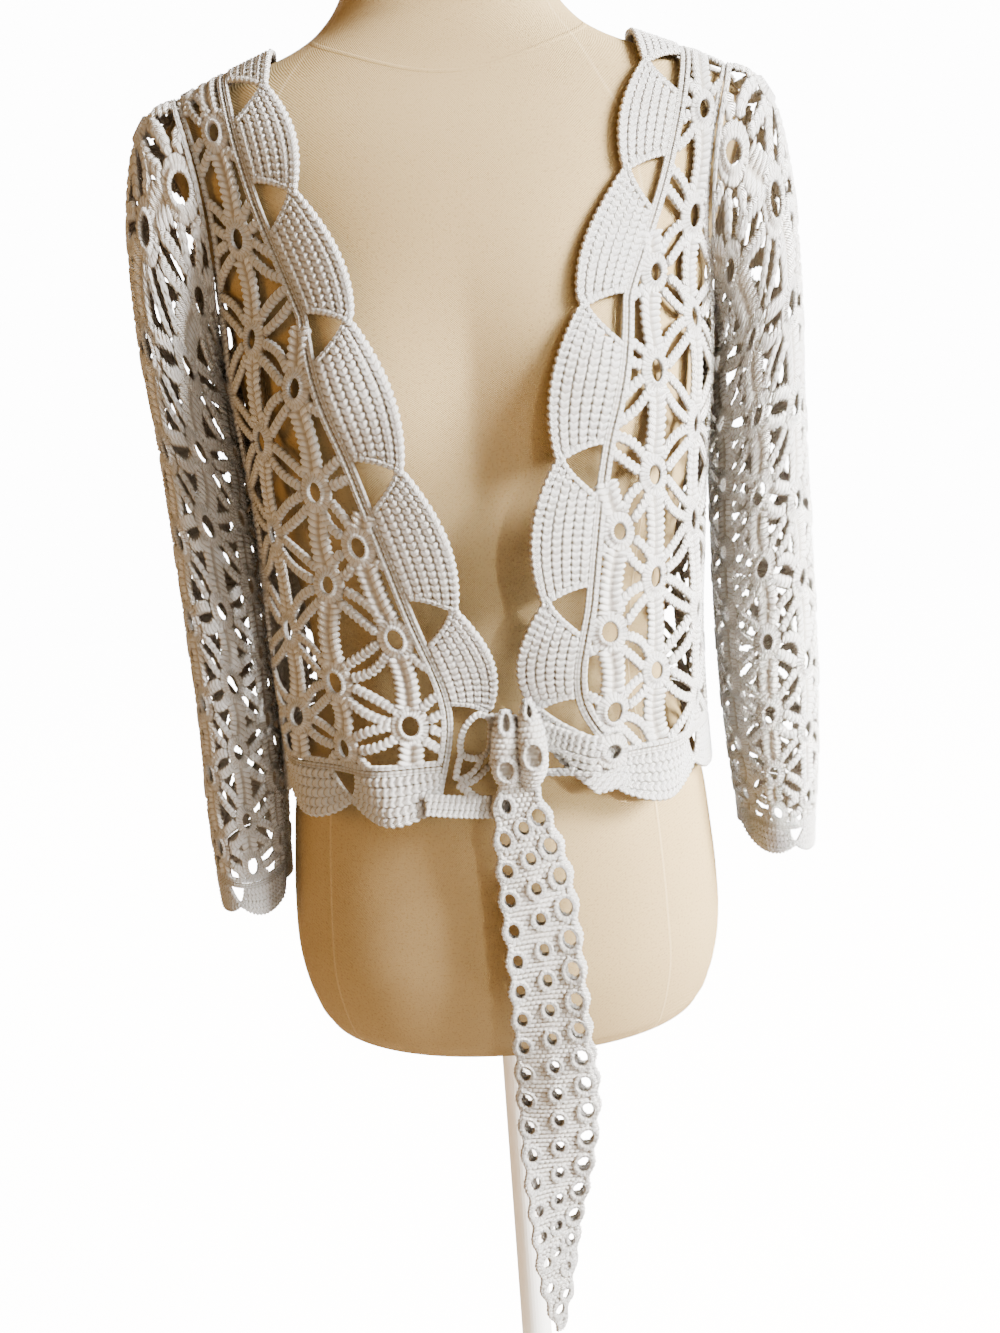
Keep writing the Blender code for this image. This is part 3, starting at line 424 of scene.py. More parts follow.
def cloth_radius(angle, height):
    """The cloth's inside: it lies on the form, and hangs clear where the form draws in."""
    half_width = eased(CLOTH["height"], CLOTH["half_width"], height)
    hang = section_radius(angle, half_width, section_depth(CLOTH, angle, height))
    near_knot = (wrapped(angle) / KNOT_ANGLE) ** 2
    near_knot = near_knot + ((height - KNOT_PLACE[2]) / KNOT_REACH) ** 2
    hang = hang - KNOT_PULL * np.exp(-near_knot)
    form = np.maximum(form_radius(angle, height), form_radius(angle, height - CLEAR_ABOVE)) + CLEAR
    joined = (hang + form + np.sqrt((hang - form) ** 2 + SOFT_JOIN**2)) / 2
    blend = np.clip((CLOTH_TOP - height) / CLOTH_BLEND, 0.0, 1.0)
    return form + (joined - form) * blend + fold_relief(angle, height)


class Surface:
    """A surface known at a grid of flat places, with its outward direction at each."""

    def __init__(self, s, t, points, flip=False):
        self.s, self.t, self.points, self.flip = s, t, points, flip
        normal = np.cross(np.gradient(points, axis=0), np.gradient(points, axis=1))
        normal /= np.linalg.norm(normal, axis=2, keepdims=True)
        self.normals = -normal if flip else normal

    def place(self, s, t, lift):
        """The points at flat places s and t, lifted outward from the inside of the cloth."""
        a = np.clip((s - self.s[0]) / (self.s[1] - self.s[0]), 0, len(self.s) - 1.001)
        b = np.clip((t - self.t[0]) / (self.t[1] - self.t[0]), 0, len(self.t) - 1.001)
        i, j = a.astype(int), b.astype(int)
        a, b = (a - i)[:, None], (b - j)[:, None]

        def blend(grid):
            low = grid[i, j] * (1 - a) + grid[i + 1, j] * a
            high = grid[i, j + 1] * (1 - a) + grid[i + 1, j + 1] * a
            return low * (1 - b) + high * b

        return blend(self.points) + blend(self.normals) * np.asarray(lift).reshape(-1, 1)

    def turn_over(self):
        """Makes its other side the outward one."""
        self.normals = -self.normals
        self.flip = not self.flip


def run_along(path):
    """Distance of each point of a path from its first point, along the path."""
    return np.concatenate([[0], np.cumsum(np.linalg.norm(np.diff(path, axis=0), axis=1))])


def solve(function, low, high):
    """Finds by halving where a rising function passes zero, for arrays of bounds."""
    for _ in range(36):
        middle = (low + high) / 2
        above = function(middle) > 0
        high = np.where(above, middle, high)
        low = np.where(above, low, middle)
    return (low + high) / 2


REFERENCE_TURN = np.linspace(-math.pi / 2, 3 * math.pi / 2, 1441)
REFERENCE_RING = around(
    cloth_radius(REFERENCE_TURN, REFERENCE_HEIGHT), REFERENCE_TURN, REFERENCE_HEIGHT
)
REFERENCE_LENGTH = run_along(REFERENCE_RING)
REFERENCE_LENGTH -= np.interp(0, REFERENCE_TURN, REFERENCE_LENGTH)
SIDE_RIGHT, SIDE_LEFT = np.interp((-math.pi / 2, math.pi / 2), REFERENCE_TURN, REFERENCE_LENGTH)
CENTRE_BACK = np.interp(math.pi, REFERENCE_TURN, REFERENCE_LENGTH)
SIDE_RIGHT_BACK = REFERENCE_LENGTH[-1]


def body_surface(back):
    """Lays the flat front or back on the body, and finds where it meets the shoulder line.

    Columns are upright to the armpit. Above it they spread a little and run to the shoulder.
    """
    first, last = (SIDE_LEFT, SIDE_RIGHT_BACK) if back else (SIDE_RIGHT, SIDE_LEFT)
    s = np.linspace(first, last, 133)
    angle = np.interp(s, REFERENCE_LENGTH, REFERENCE_TURN)
    low = np.linspace(0.660, ARMPIT_HEIGHT, 100)[:, None] + 0 * angle
    lower = around(cloth_radius(angle, low), angle + 0 * low, low)
    side = np.where(lower[-1, :, 0] < 0, -1.0, 1.0)
    half = np.abs(lower[-1, :, 0])

    def turned_to(bend):
        return math.pi - side * bend if back else side * bend

    quarter = np.full(len(s), math.pi / 2)
    ridge_half = half * (1 + SHOULDER_SPREAD)
    ridge = solve(
        lambda z: ridge_half - cloth_radius(turned_to(quarter), z),
        np.full(len(s), 1.112),
        np.full(len(s), 1.165),
    )
    share = 1 - (1 - np.linspace(0, 1, 121)[1:, None]) ** 2
    height = ARMPIT_HEIGHT + (ridge - ARMPIT_HEIGHT) * share
    aim = half * (1 + SHOULDER_SPREAD * share)
    bend = solve(
        lambda b: cloth_radius(turned_to(b), height) * np.sin(b) - aim,
        0 * height,
        0 * height + math.pi / 2,
    )
    upper = around(cloth_radius(turned_to(bend), height), turned_to(bend), height)
    rows = np.concatenate([lower, upper])
    onward = rows[-1] - rows[-4]
    beyond = rows[-1] + FLAT_HIGH * onward / np.linalg.norm(onward, axis=1, keepdims=True)
    t = np.arange(FLAT_LOW, FLAT_HIGH, 3 * MM)
    points = np.zeros((len(s), len(t), 3))
    top = np.zeros(len(s))
    for c in range(len(s)):
        line = np.concatenate([rows[:, c], beyond[None, c]])
        run = run_along(line)
        run -= np.interp(HEM_HEIGHT, rows[:, c, 2], run[:-1])
        top[c] = run[-2]
        for k in range(3):
            points[c, :, k] = np.interp(t, run, line[:, k])
    surface = Surface(s, t, points)
    surface.top = lambda at: np.interp(at, s, top)
    return surface


FRONT = body_surface(back=False)
BACK = body_surface(back=True)

# Cross sections of the strands: place across, from -1 to 1, height in mm, and share of the stitch relief
CORD = np.array((
    (-1.0, 1.1, 0.5), (-0.52, 3.0, 1.0), (0.0, 2.2, 0.5), (0.52, 3.0, 1.0), (1.0, 1.1, 0.5),
    (0.6, 0.3, 0.0), (-0.6, 0.3, 0.0),
))
BAR = np.array((
    (-1.0, 0.9, 0.5), (-0.86, 2.3, 0.9), (-0.62, 3.0, 1.0), (-0.36, 2.6, 1.0), (-0.15, 1.5, 0.5),
    (0.0, 1.2, 0.2), (0.15, 1.5, 0.5), (0.36, 2.6, 1.0), (0.62, 3.0, 1.0), (0.86, 2.3, 0.9),
    (1.0, 0.9, 0.5), (0.7, 0.3, 0.0), (-0.7, 0.3, 0.0),
))
WASHER = np.array((
    (-1.0, 0.9, 0.6), (-0.7, 2.0, 1.0), (-0.25, 2.2, 1.0), (0.1, 1.9, 0.6), (0.35, 2.9, 0.4),
    (0.7, 3.7, 0.3), (1.0, 2.6, 0.2), (0.9, 0.7, 0.0), (-0.1, 0.3, 0.0),
))
DOUBLE = np.array((
    (-1.0, 1.0, 0.6), (-0.52, 2.5, 1.0), (0.0, 1.3, 0.3), (0.52, 2.5, 1.0), (1.0, 1.0, 0.6),
    (0.6, 0.3, 0.0), (-0.6, 0.3, 0.0),
))
STITCH = 4.0 * MM

# Kinds of strand: cross section, stitch length, relief in mm, how far the stitches slant to both
# sides of the middle, and how far they swell the edges
RING_STRAND = (WASHER, 2.3 * MM, 0.42, 0.0, 0.12)
BAR_STRAND = (BAR, 4.0 * MM, 0.55, 0.60, 0.15)
CORD_STRAND = (CORD, 3.8 * MM, 0.55, 0.45, 0.19)
EDGING_STRAND = (CORD, 3.6 * MM, 0.28, 0.35, 0.12)


class Crochet:
    """Strands of one piece of crochet, laid flat, to be hung on a surface together."""

    def __init__(self):
        self.flat, self.stitches, self.raised, self.faces = [], [], [], []
        self.count = 0
        self.area = 0.0

    def strand(self, path, half, kind, closed=False, lift=0.0, phase=0.0):
        """Adds a strand of one kind along a flat path."""
        section, period, relief, lean, serrate = kind
        path = np.asarray(path, float)
        half = np.broadcast_to(np.asarray(half, float), len(path))
        swell = np.ones(len(path))
        if closed:
            along = np.roll(path, -1, axis=0) - np.roll(path, 1, axis=0)
            steps = np.linalg.norm(path - np.roll(path, 1, axis=0), axis=1)
            run = np.cumsum(steps) - steps[0]
            period = steps.sum() / max(1, round(steps.sum() / period))
        else:
            along = np.gradient(path, axis=0)
            steps = np.linalg.norm(np.diff(path, axis=0), axis=1)
            run = np.concatenate([[0], np.cumsum(steps)])
            swell[0] = swell[-1] = 0.6
        self.area += float(steps.sum() * 2 * half.mean())
        along /= np.maximum(np.linalg.norm(along, axis=1, keepdims=True), 1e-9)
        left = np.stack([-along[:, 1], along[:, 0]], axis=1)
        across, height, share = section[:, 0], section[:, 1] * MM, section[:, 2]
        turn = 2 * math.pi * (run[:, None] / period + phase - lean * np.abs(across))
        wave = 2.4 * np.abs(np.sin(turn / 2)) ** 0.7 - 1.4
        edge = np.clip((np.abs(across) - 0.5) * 2, 0, 1)
        off = across * half[:, None] * swell[:, None] * (1 + serrate * edge * wave)
        rise = height * swell[:, None] + relief * MM * share * wave + lift
        flat = path[:, None] + left[:, None] * off[..., None]
        count, width = len(path), len(section)
        self.flat.append(np.concatenate([flat, rise[..., None]], axis=2).reshape(-1, 3))
        # Raised share, from 0 low on the strand to 1 near its top, by which the cotton paints shade into
        # low places.
        self.raised.append(np.clip(((rise - lift) / MM - 0.9) / 2.6, 0, 1).ravel())
        loops = turn / (2 * math.pi) * STITCH
        self.stitches.append(np.stack([loops, off], axis=2).reshape(-1, 2))
        i = np.arange(count if closed else count - 1)[:, None]
        k = np.arange(width)[None]
        a, b = i * width + k, i * width + (k + 1) % width
        c, d = (i + 1) % count * width + k, (i + 1) % count * width + (k + 1) % width
        self.faces.append(np.stack([a, c, d, b], axis=2).reshape(-1, 4) + self.count)
        if not closed:
            ends = np.arange(width) + self.count
            self.faces.append(ends[None])
            self.faces.append(ends[None, ::-1] + (count - 1) * width)
        self.count += count * width

    def hang(self, name, surface, material, wrap=None):
        """Makes the piece on its surface. wrap is the girth of a surface that meets itself."""
        flat = np.concatenate(self.flat)
        s = flat[:, 0]
        if wrap:
            s = (s + wrap / 2) % wrap - wrap / 2
        points = surface.place(s, flat[:, 1], flat[:, 2])
        faces = []
        for block in self.faces:
            faces.extend(block[:, ::-1] if surface.flip else block)
        places, raised = np.concatenate(self.stitches), np.concatenate(self.raised)
        return add_piece(name, points, faces, places, material, raised)


def crocheted(piece, replaced, area):
    """Attaches a crocheted sheet to the root body, and hides the solids that it stands for.

    area, the sheet's size when it was laid flat, is not used.
    """
    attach(piece, "root")
    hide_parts(*replaced)


def evenly(path, step):
    """Points along a flat line, a step apart."""
    path = np.asarray(path, float)
    run = run_along(path)
    at = np.linspace(0, run[-1], max(3, math.ceil(run[-1] / step) + 1))
    return np.stack([np.interp(at, run, path[:, 0]), np.interp(at, run, path[:, 1])], axis=1)


def inside(points, outline):
    """Which flat points lie within a closed outline."""
    x, y = points[:, 0, None], points[:, 1, None]
    a = np.asarray(outline)
    b = np.roll(a, -1, axis=0)
    crosses = (a[:, 1] > y) != (b[:, 1] > y)
    run = np.where(b[:, 1] == a[:, 1], 1.0, b[:, 1] - a[:, 1])
    at = a[:, 0] + (y - a[:, 1]) / run * (b[:, 0] - a[:, 0])
    return (crosses & (x < at)).sum(axis=1) % 2 == 1


def nearest_edge(points, outline):
    """Nearest place on a closed outline to each flat point, and how deep inside the point is."""
    a = np.asarray(outline)
    along = np.roll(a, -1, axis=0) - a
    to = points[:, None] - a[None]
    share = (to * along).sum(axis=2) / np.maximum((along**2).sum(axis=1), 1e-12)
    share = np.clip(share, 0, 1)[..., None]
    off = to - share * along
    distance = np.linalg.norm(off, axis=2)
    best = distance.argmin(axis=1)
    each = np.arange(len(points))
    place = points - off[each, best]
    return place, np.where(inside(points, outline), 1, -1) * distance[each, best]


def oval(half_wide, half_long, count):
    """Flat points round an oval about the origin."""
    turn = np.linspace(0, 2 * math.pi, count + 1)[:-1]
    return np.stack([half_wide * np.cos(turn), half_long * np.sin(turn)], axis=1)


PANEL_PITCH = (42 * MM, 58 * MM)
RING = (7.9 * MM, 9.3 * MM)
RING_OUTSIDE = 5 * MM
RING_MARGIN = 0.5 * MM
WASHER_HALF = 3.4 * MM
LINK_START = 10.4 * MM
LINK_SHORTEST = 26 * MM
LINK_BOW = 2.6
BAR_HALF = 5.9 * MM
CORD_HALF = 2.35 * MM
CORD_APART = 3.1 * MM
CORD_OPEN = 0.35
WANDER = 2.2 * MM
EDGING_HALF = 1.8 * MM


def clipped(path, outline, margin=1.2 * MM):
    """The longest part of a line that lies within the outline."""
    _, depth = nearest_edge(path, outline)
    keep = depth > margin
    best, start = (0, 0), None
    for k in range(len(keep) + 1):
        if k < len(keep) and keep[k]:
            start = k if start is None else start
        elif start is not None:
            if k - start > best[1] - best[0]:
                best = (start, k)
            start = None
    return path[best[0]:best[1]]


def openwork(crochet, outline, start, pitch, seed, columns_round=0, full=1.30, step=1.0 * MM):
    """Rings, bars and cords over a flat outline, each second column of rings half a pitch higher.

    columns_round closes the work into a tube. full widens the bars and cords where the work is
    denser, and step is the distance between their cross sections.
    """
    outline = np.asarray(outline)
    chance = np.random.default_rng(seed)
    start, pitch = np.array(start), np.array(pitch)
    low = np.floor((outline.min(axis=0) - start) / pitch).astype(int) - 1
    high = np.ceil((outline.max(axis=0) - start) / pitch).astype(int) + 2
    if columns_round:
        low[0], high[0] = 0, columns_round
    keys = [(i, j) for i in range(low[0], high[0]) for j in range(low[1], high[1])]
    places = np.array([start + pitch * (i, j + 0.5 * (i % 2)) for i, j in keys])
    places = places + chance.uniform(-1, 1, places.shape) * WANDER
    edge, depth = nearest_edge(places, outline)
    worked = depth > -RING_OUTSIDE
    fit = RING[1] + WASHER_HALF + RING_MARGIN
    near = worked & (depth < fit)
    inward = (places - edge) * np.sign(depth)[:, None]
    inward /= np.maximum(np.linalg.norm(inward, axis=1, keepdims=True), 1e-9)
    places = np.where(near[:, None], edge + inward * fit, places)
    at = dict(zip(keys, places))
    made = dict(zip(keys, worked))
    if columns_round:
        for (i, j), place in list(at.items()):
            if i == 0:
                at[columns_round, j] = place + (pitch[0] * columns_round, 0)
                made[columns_round, j] = made[i, j]
    for i, j in keys:
        here, size = at[i, j], chance.uniform(0.92, 1.08)
        skew = chance.uniform(-0.25, 0.25)
        if made[i, j]:
            turned_by = ((math.cos(skew), math.sin(skew)), (-math.sin(skew), math.cos(skew)))
            ring = oval(*RING, 44) * size @ np.array(turned_by)
            crochet.strand(here + ring, WASHER_HALF, RING_STRAND, closed=True)
        above, beside = (i, j + 1), (i + 1, j + i % 2)
        for other, kind in ((above, "bar"), (beside, "cords"), ((i + 1, beside[1] - 1), "cords")):
            if other not in at or not (made[i, j] or made[other]):
                continue
            there = at[other]
            way = there - here
            length = np.linalg.norm(way)
            if length < LINK_SHORTEST:
                continue
            way /= length
            side = np.array((-way[1], way[0]))
            first, last = here + way * LINK_START, there - way * LINK_START
            bow = chance.uniform(-LINK_BOW, LINK_BOW) * MM
            share = np.linspace(0, 1, 15)[:, None]
            line = first + (last - first) * share + side * bow * np.sin(math.pi * share)
            phase = chance.uniform(0, 1)
            if kind == "bar":
                path = clipped(evenly(line, step), outline)
                if len(path) > 5:
                    f = np.linspace(-1, 1, len(path))
                    half = full * BAR_HALF * (0.92 + 0.18 * f**4)
                    crochet.strand(path, half, BAR_STRAND, phase=phase)
            else:
                for sign in (-1, 1):
                    open_out = 1 + CORD_OPEN * np.sin(math.pi * share)
                    apart = line + side * CORD_APART * full * sign * open_out
                    path = clipped(evenly(apart, 1.25 * step), outline)
                    if len(path) > 4:
                        crochet.strand(path, full * CORD_HALF, CORD_STRAND, phase=phase)


def edging(crochet, outline):
    """A row of single crochet all round a piece, just inside its outline."""
    p = np.asarray(outline)
    ring = evenly(np.concatenate([p, p[:1]]), 1.5 * MM)[:-1]
    ahead = np.roll(ring, -1, axis=0) - np.roll(ring, 1, axis=0)
    ahead /= np.linalg.norm(ahead, axis=1, keepdims=True)
    left = np.stack([-ahead[:, 1], ahead[:, 0]], axis=1)
    x, y = ring[:, 0], ring[:, 1]
    turns = np.sum(x * np.roll(y, -1) - np.roll(x, -1) * y) > 0
    ring = ring + left * (EDGING_HALF + 0.2 * MM) * (1 if turns else -1)
    crochet.strand(ring, EDGING_HALF, EDGING_STRAND, closed=True)


def crochet_group():
    """Yarn of a crocheted strand: loops with creases between, slanting plies, a little fuzz, and painted
    crease shade.
    """
    group = bpy.data.node_groups.new("crochet_yarn", "ShaderNodeTree")
    for name, kind in (
        ("Stitch place", "NodeSocketVector"),
        ("Object place", "NodeSocketVector"),
        ("Ply", "NodeSocketFloat"),
    ):
        group.interface.new_socket(name, in_out="INPUT", socket_type=kind)
    group.interface.new_socket("Height", in_out="OUTPUT", socket_type="NodeSocketFloat")
    group.interface.new_socket("Crease shade", in_out="OUTPUT", socket_type="NodeSocketFloat")
    group.interface.new_socket("Worn", in_out="OUTPUT", socket_type="NodeSocketFloat")
    enter = node(group, "NodeGroupInput")
    leave = node(group, "NodeGroupOutput")
    split = node(group, "ShaderNodeSeparateXYZ")
    group.links.new(enter.outputs["Stitch place"], split.inputs[0])
    loop = maths(group, "SINE", maths(group, "MULTIPLY", split.outputs["X"], math.pi / STITCH))
    loop = maths(group, "ABSOLUTE", loop)
    beside = maths(group, "ABSOLUTE", split.outputs["Y"])
    slant = maths(group, "MULTIPLY_ADD", beside, -1.1, split.outputs["X"])
    plies = maths(group, "SINE", maths(group, "DIVIDE", slant, enter.outputs["Ply"]))
    fuzz = noise(group, enter.outputs["Object place"], 1500.0, 2.0)
    height = maths(group, "MULTIPLY_ADD", fuzz, 1.2, maths(group, "MULTIPLY", plies, 1.7))
    height = maths(group, "MULTIPLY_ADD", maths(group, "POWER", loop, 0.6), 4.2, height)
    group.links.new(height, leave.inputs["Height"])
    # Painted shade: the creases between loops and between plies are marked here, to be painted darker.
    shade_between_loops = ranged(group, loop, 0.05, 0.60, 1.0, 0.0)
    shade_between_plies = ranged(group, plies, -1.0, -0.1, 0.5, 0.0)
    crease_shade_mask = maths(group, "MAXIMUM", shade_between_loops, shade_between_plies)
    group.links.new(crease_shade_mask, leave.inputs["Crease shade"])
    group.links.new(noise(group, enter.outputs["Object place"], 60.0, 3.0), leave.inputs["Worn"])
    return group


yarn_kind = crochet_group()


def cotton(name, light, shaded):
    """White crochet cotton. Its two colours are the yarn where it is clean and where it is handled."""
    material, tree, shader = new_material(name, light[:3], 0.62)
    flat = node(tree, "ShaderNodeUVMap", uv_map="flat").outputs["UV"]
    objects = node(tree, "ShaderNodeTexCoord").outputs["Object"]
    yarn = node(tree, "ShaderNodeGroup", node_tree=yarn_kind)
    tree.links.new(flat, yarn.inputs["Stitch place"])
    tree.links.new(objects, yarn.inputs["Object place"])
    yarn.inputs["Ply"].default_value = 0.21 * MM
    worn = ranged(tree, yarn.outputs["Worn"], 0.35, 0.75)
    shade = mixed_colour(tree, worn, light, shaded)
    # Painted shade: the strands' low places, by their raised share, and the creases are painted darker,
    # towards a deep colour made from the shaded one.
    raised = node(tree, "ShaderNodeAttribute", attribute_name="raised").outputs["Fac"]
    low = ranged(tree, raised, 0.05, 0.70, 1.0, 0.0)
    crease_shade_mask = maths(tree, "MULTIPLY", yarn.outputs["Crease shade"], 0.85)
    deep = maths(tree, "MAXIMUM", low, crease_shade_mask)
    shade = mixed_colour(tree, deep, shade, (0.55 * shaded[0], 0.50 * shaded[1], 0.43 * shaded[2], 1))
    tree.links.new(shade, shader.inputs["Base Color"])
    normal = bumped(tree, yarn.outputs["Height"], 0.42 * MM, 1.0)
    tree.links.new(normal, shader.inputs["Normal"])
    shader.inputs["Sheen Weight"].default_value = 0.2
    shader.inputs["Sheen Roughness"].default_value = 0.4
    return material


white_cotton = cotton("white_crochet_cotton", (0.96, 0.94, 0.905, 1), (0.92, 0.885, 0.825, 1))

FRONT_EDGE = table(
    ("t", "right", "left"),
    (
        (-0.012, -0.013, 0.062),
        (0.042, -0.002, 0.029),
        (0.110, -0.0170, 0.0335),
        (0.190, -0.0400, 0.0440),
        (0.272, -0.0660, 0.0660),
        (0.347, -0.0905, 0.0940),
        (0.411, -0.1010, 0.1070),
        (0.480, -0.1030, 0.1050),
    ),
)
BORDER_WIDTH = 30 * MM
ARMHOLE = table(
    ("turn", "from_side", "t"),
    (
        (0, 0.032, 0.443),
        (32, 0.047, 0.408),
        (65, 0.058, 0.365),
        (100, 0.056, 0.322),
        (140, 0.032, 0.283),
        (180, 0.0, 0.265),
    ),
)


def front_edge(column, t):
    return eased(FRONT_EDGE["t"], FRONT_EDGE[column], t)


def armhole(side, back, degrees):
    """Flat places on one front or back armhole, by their turn from the shoulder to the armpit."""
    surface = BACK if back else FRONT
    seams = {
        (-1, False): SIDE_RIGHT,
        (1, False): SIDE_LEFT,
        (-1, True): SIDE_RIGHT_BACK,
        (1, True): SIDE_LEFT,
    }
    inward = side if back else -side
    s = seams[side, back] + inward * eased(ARMHOLE["turn"], ARMHOLE["from_side"], degrees)
    t = ARMHOLE["t"].copy()
    t[0] = surface.top(seams[side, back] + inward * ARMHOLE["from_side"][0])
    return s, eased(ARMHOLE["turn"], t, degrees)


def front_outline(side):
    column = "right" if side < 0 else "left"
    side_seam = SIDE_RIGHT if side < 0 else SIDE_LEFT
    top_place = side * abs(FRONT_EDGE[column][-1])
    t = np.linspace(HEM_SEAM, float(FRONT.top(top_place)), 120)
    seam = np.stack([front_edge(column, t) + side * BORDER_WIDTH, t], axis=1)
    seam[-1, 1] = FRONT.top(seam[-1, 0])
    arm_s, arm_t = armhole(side, False, np.linspace(0, 180, 41))
    over = np.linspace(seam[-1, 0], arm_s[0], 12)[1:-1]
    shoulder = np.stack([over, FRONT.top(over)], axis=1)
    arm = np.stack([arm_s, arm_t], axis=1)
    return np.concatenate([seam, shoulder, arm, [(side_seam, HEM_SEAM)]])


def build_front(side, name, start, seed):
    crochet = Crochet()
    outline = front_outline(side)
    openwork(crochet, outline, start, PANEL_PITCH, seed)
    edging(crochet, outline)
    piece = crochet.hang("crocheted_" + name, FRONT, white_cotton)
    crocheted(piece, (name,), crochet.area)


build_front(-1, "front_right", (-0.138, 0.327), 11)


# The left front panel is the same openwork on the other side of the opening.
# It is cut a little narrower, and its rings stand at other heights.
build_front(1, "front_left", (0.150, 0.321), 12)


# The back panel is one piece of the same openwork from side seam to side seam.
# Its rings are staggered from column to column, and its neckline is cut low for the border.
BACK_NECK = table(
    ("from_centre", "t"),
    ((0.0, 0.430), (0.030, 0.432), (0.060, 0.446), (0.083, 0.467), (0.094, 0.492)),
)
NECK_WIDE = BACK_NECK["from_centre"][-1] + BORDER_WIDTH


def neck_lines(f):
    """Valley line and seam line of the back neck border, f from -1 to 1 across the neck."""
    across = np.abs(f) * BACK_NECK["from_centre"][-1]
    t = eased(BACK_NECK["from_centre"], BACK_NECK["t"], across)
    edge = np.stack([CENTRE_BACK + f * BACK_NECK["from_centre"][-1], t], axis=-1)
    seam = np.stack([CENTRE_BACK + f * NECK_WIDE, t - BORDER_WIDTH * (1 - np.abs(f) ** 3)], axis=-1)
    for line in (edge, seam):
        ends = np.abs(f) > 0.999
        line[ends, 1] = BACK.top(line[ends, 0])
    return edge, seam


_, neck_seam = neck_lines(np.linspace(-1, 1, 61))
arm_left = np.stack(armhole(1, True, np.linspace(0, 180, 41)), axis=1)
arm_right = np.stack(armhole(-1, True, np.linspace(0, 180, 41)), axis=1)


def back_shoulder(one, two):
    s = np.linspace(one, two, 12)[1:-1]
    return np.stack([s, BACK.top(s)], axis=1)


back_outline = np.concatenate([
    np.array(((SIDE_LEFT, HEM_SEAM), (SIDE_RIGHT_BACK, HEM_SEAM))),
    arm_right[::-1],
    back_shoulder(arm_right[0, 0], neck_seam[-1, 0]),
    neck_seam[::-1],
    back_shoulder(neck_seam[0, 0], arm_left[0, 0]),
    arm_left,
])
back_work = Crochet()
openwork(back_work, back_outline, (CENTRE_BACK, 0.321), PANEL_PITCH, 13, step=1.9 * MM)
edging(back_work, back_outline)
back = back_work.hang("crocheted_back", BACK, white_cotton)
crocheted(back, ("back",), back_work.area)


# A scalloped border runs up each front edge: leaves of chain ribs that narrow upwards, a D-shaped
# gap at each valley, and a double cord between the leaves and the panel, to which it is joined.
SCALLOP = 10 * MM
RIB_STEP = 1.05 * MM
BAR_INSET = 2.1 * MM
LEAF_EDGE = (CORD, 4.2 * MM, 0.70, 0.45, 0.22)
LEAF_RIB = (CORD, 4.2 * MM, 0.70, 0.45, 0.14)
INNER_BAR = (DOUBLE, 3.4 * MM, 0.28, 0.30, 0.10)
GAP_EDGE = (CORD, 3.4 * MM, 0.40, 0.35, 0.22)


def scallop(share):
    """Height of a scallop's outline, from valley to valley."""
    return np.sin(math.pi * np.clip(share, 0, 1)) ** 0.8


def leaf_border(crochet, valleys, edge, bar, ribs, gap_low, gap_high, whole_from=0):
    """Leaves between valleys. edge and bar give flat places along the outer edge and the inner bar.

    Each leaf is broad at its low end. gap_low and gap_high are the gap's reach along the border,
    below and above each valley. Leaves before whole_from have only their inner bar.
    """
    bar_half = 1.9 * MM
    steps = np.arange(valleys[0], valleys[-1] + 0.5 * RIB_STEP, RIB_STEP)
    outer, inner = edge(steps), bar(steps)
    whole = np.linalg.norm(inner - outer, axis=1, keepdims=True)
    to_bar = (inner - outer) / whole
    rib_half = 0.52 * (whole[:, 0] - bar_half) / ribs
    worked = steps >= valleys[whole_from]
    braid = (outer + to_bar * rib_half[:, None])[worked]
    crochet.strand(braid, rib_half[worked], LEAF_EDGE)
    crochet.strand(inner, bar_half, INNER_BAR)
    for n, (low, high) in enumerate(zip(valleys[:-1], valleys[1:])):
        if n < whole_from:
            continue
        for k in range(1, ribs):
            w = (k + 0.5) / ribs
            begin = low + gap_high * math.sin(math.pi / 2 * w) if n > 0 else low
            end = high - gap_low * max(0.0, w - 0.12) if n < len(valleys) - 2 else high
            u = np.arange(begin, end, RIB_STEP)
            if len(u) < 5:
                continue
            a, b = edge(u), bar(u)
            width = np.linalg.norm(b - a, axis=1)
            half = 0.53 * (width - bar_half) / ribs
            share = (w * (width - bar_half) / width)[:, None]
            crochet.strand(a + (b - a) * share, half, LEAF_RIB, phase=0.37 * k)
        if n > 0:
            w = np.linspace(0.05, 0.96, 24)
            u = low + gap_high * np.sin(math.pi / 2 * w) - 0.8 * MM
            a, b = edge(u), bar(u)
            crochet.strand(a + (b - a) * w[:, None], 1.9 * MM, GAP_EDGE)
            if n == whole_from:
                continue
            u = low - gap_low * np.maximum(0.0, w - 0.12)
            a, b = edge(u), bar(u)
            crochet.strand(a + (b - a) * w[:, None], 1.7 * MM, GAP_EDGE)


def front_border(side, name):
    column = "right" if side < 0 else "left"
    valleys = FRONT_EDGE["t"].copy()
    valleys[-1] = FRONT.top(side * abs(FRONT_EDGE[column][-1]))

    def edge(u):
        k = np.clip(np.searchsorted(valleys, u, side="right") - 1, 0, len(valleys) - 2)
        share = (u - valleys[k]) / (valleys[k + 1] - valleys[k])
        size = np.where((k > 0) & (k < len(valleys) - 2), SCALLOP, 0.5 * SCALLOP)
        return np.stack([front_edge(column, u) - side * size * scallop(share), u], axis=1)

    def bar(u):
        return np.stack([front_edge(column, u) + side * (BORDER_WIDTH - BAR_INSET), u], axis=1)

    crochet = Crochet()
    leaf_border(crochet, valleys, edge, bar, 6, 27 * MM, 9 * MM, whole_from=1 if side < 0 else 0)
    piece = crochet.hang("scalloped_" + name, FRONT, white_cotton)
    crocheted(piece, (name,), crochet.area)


front_border(-1, "front_border_right")
front_border(1, "front_border_left")


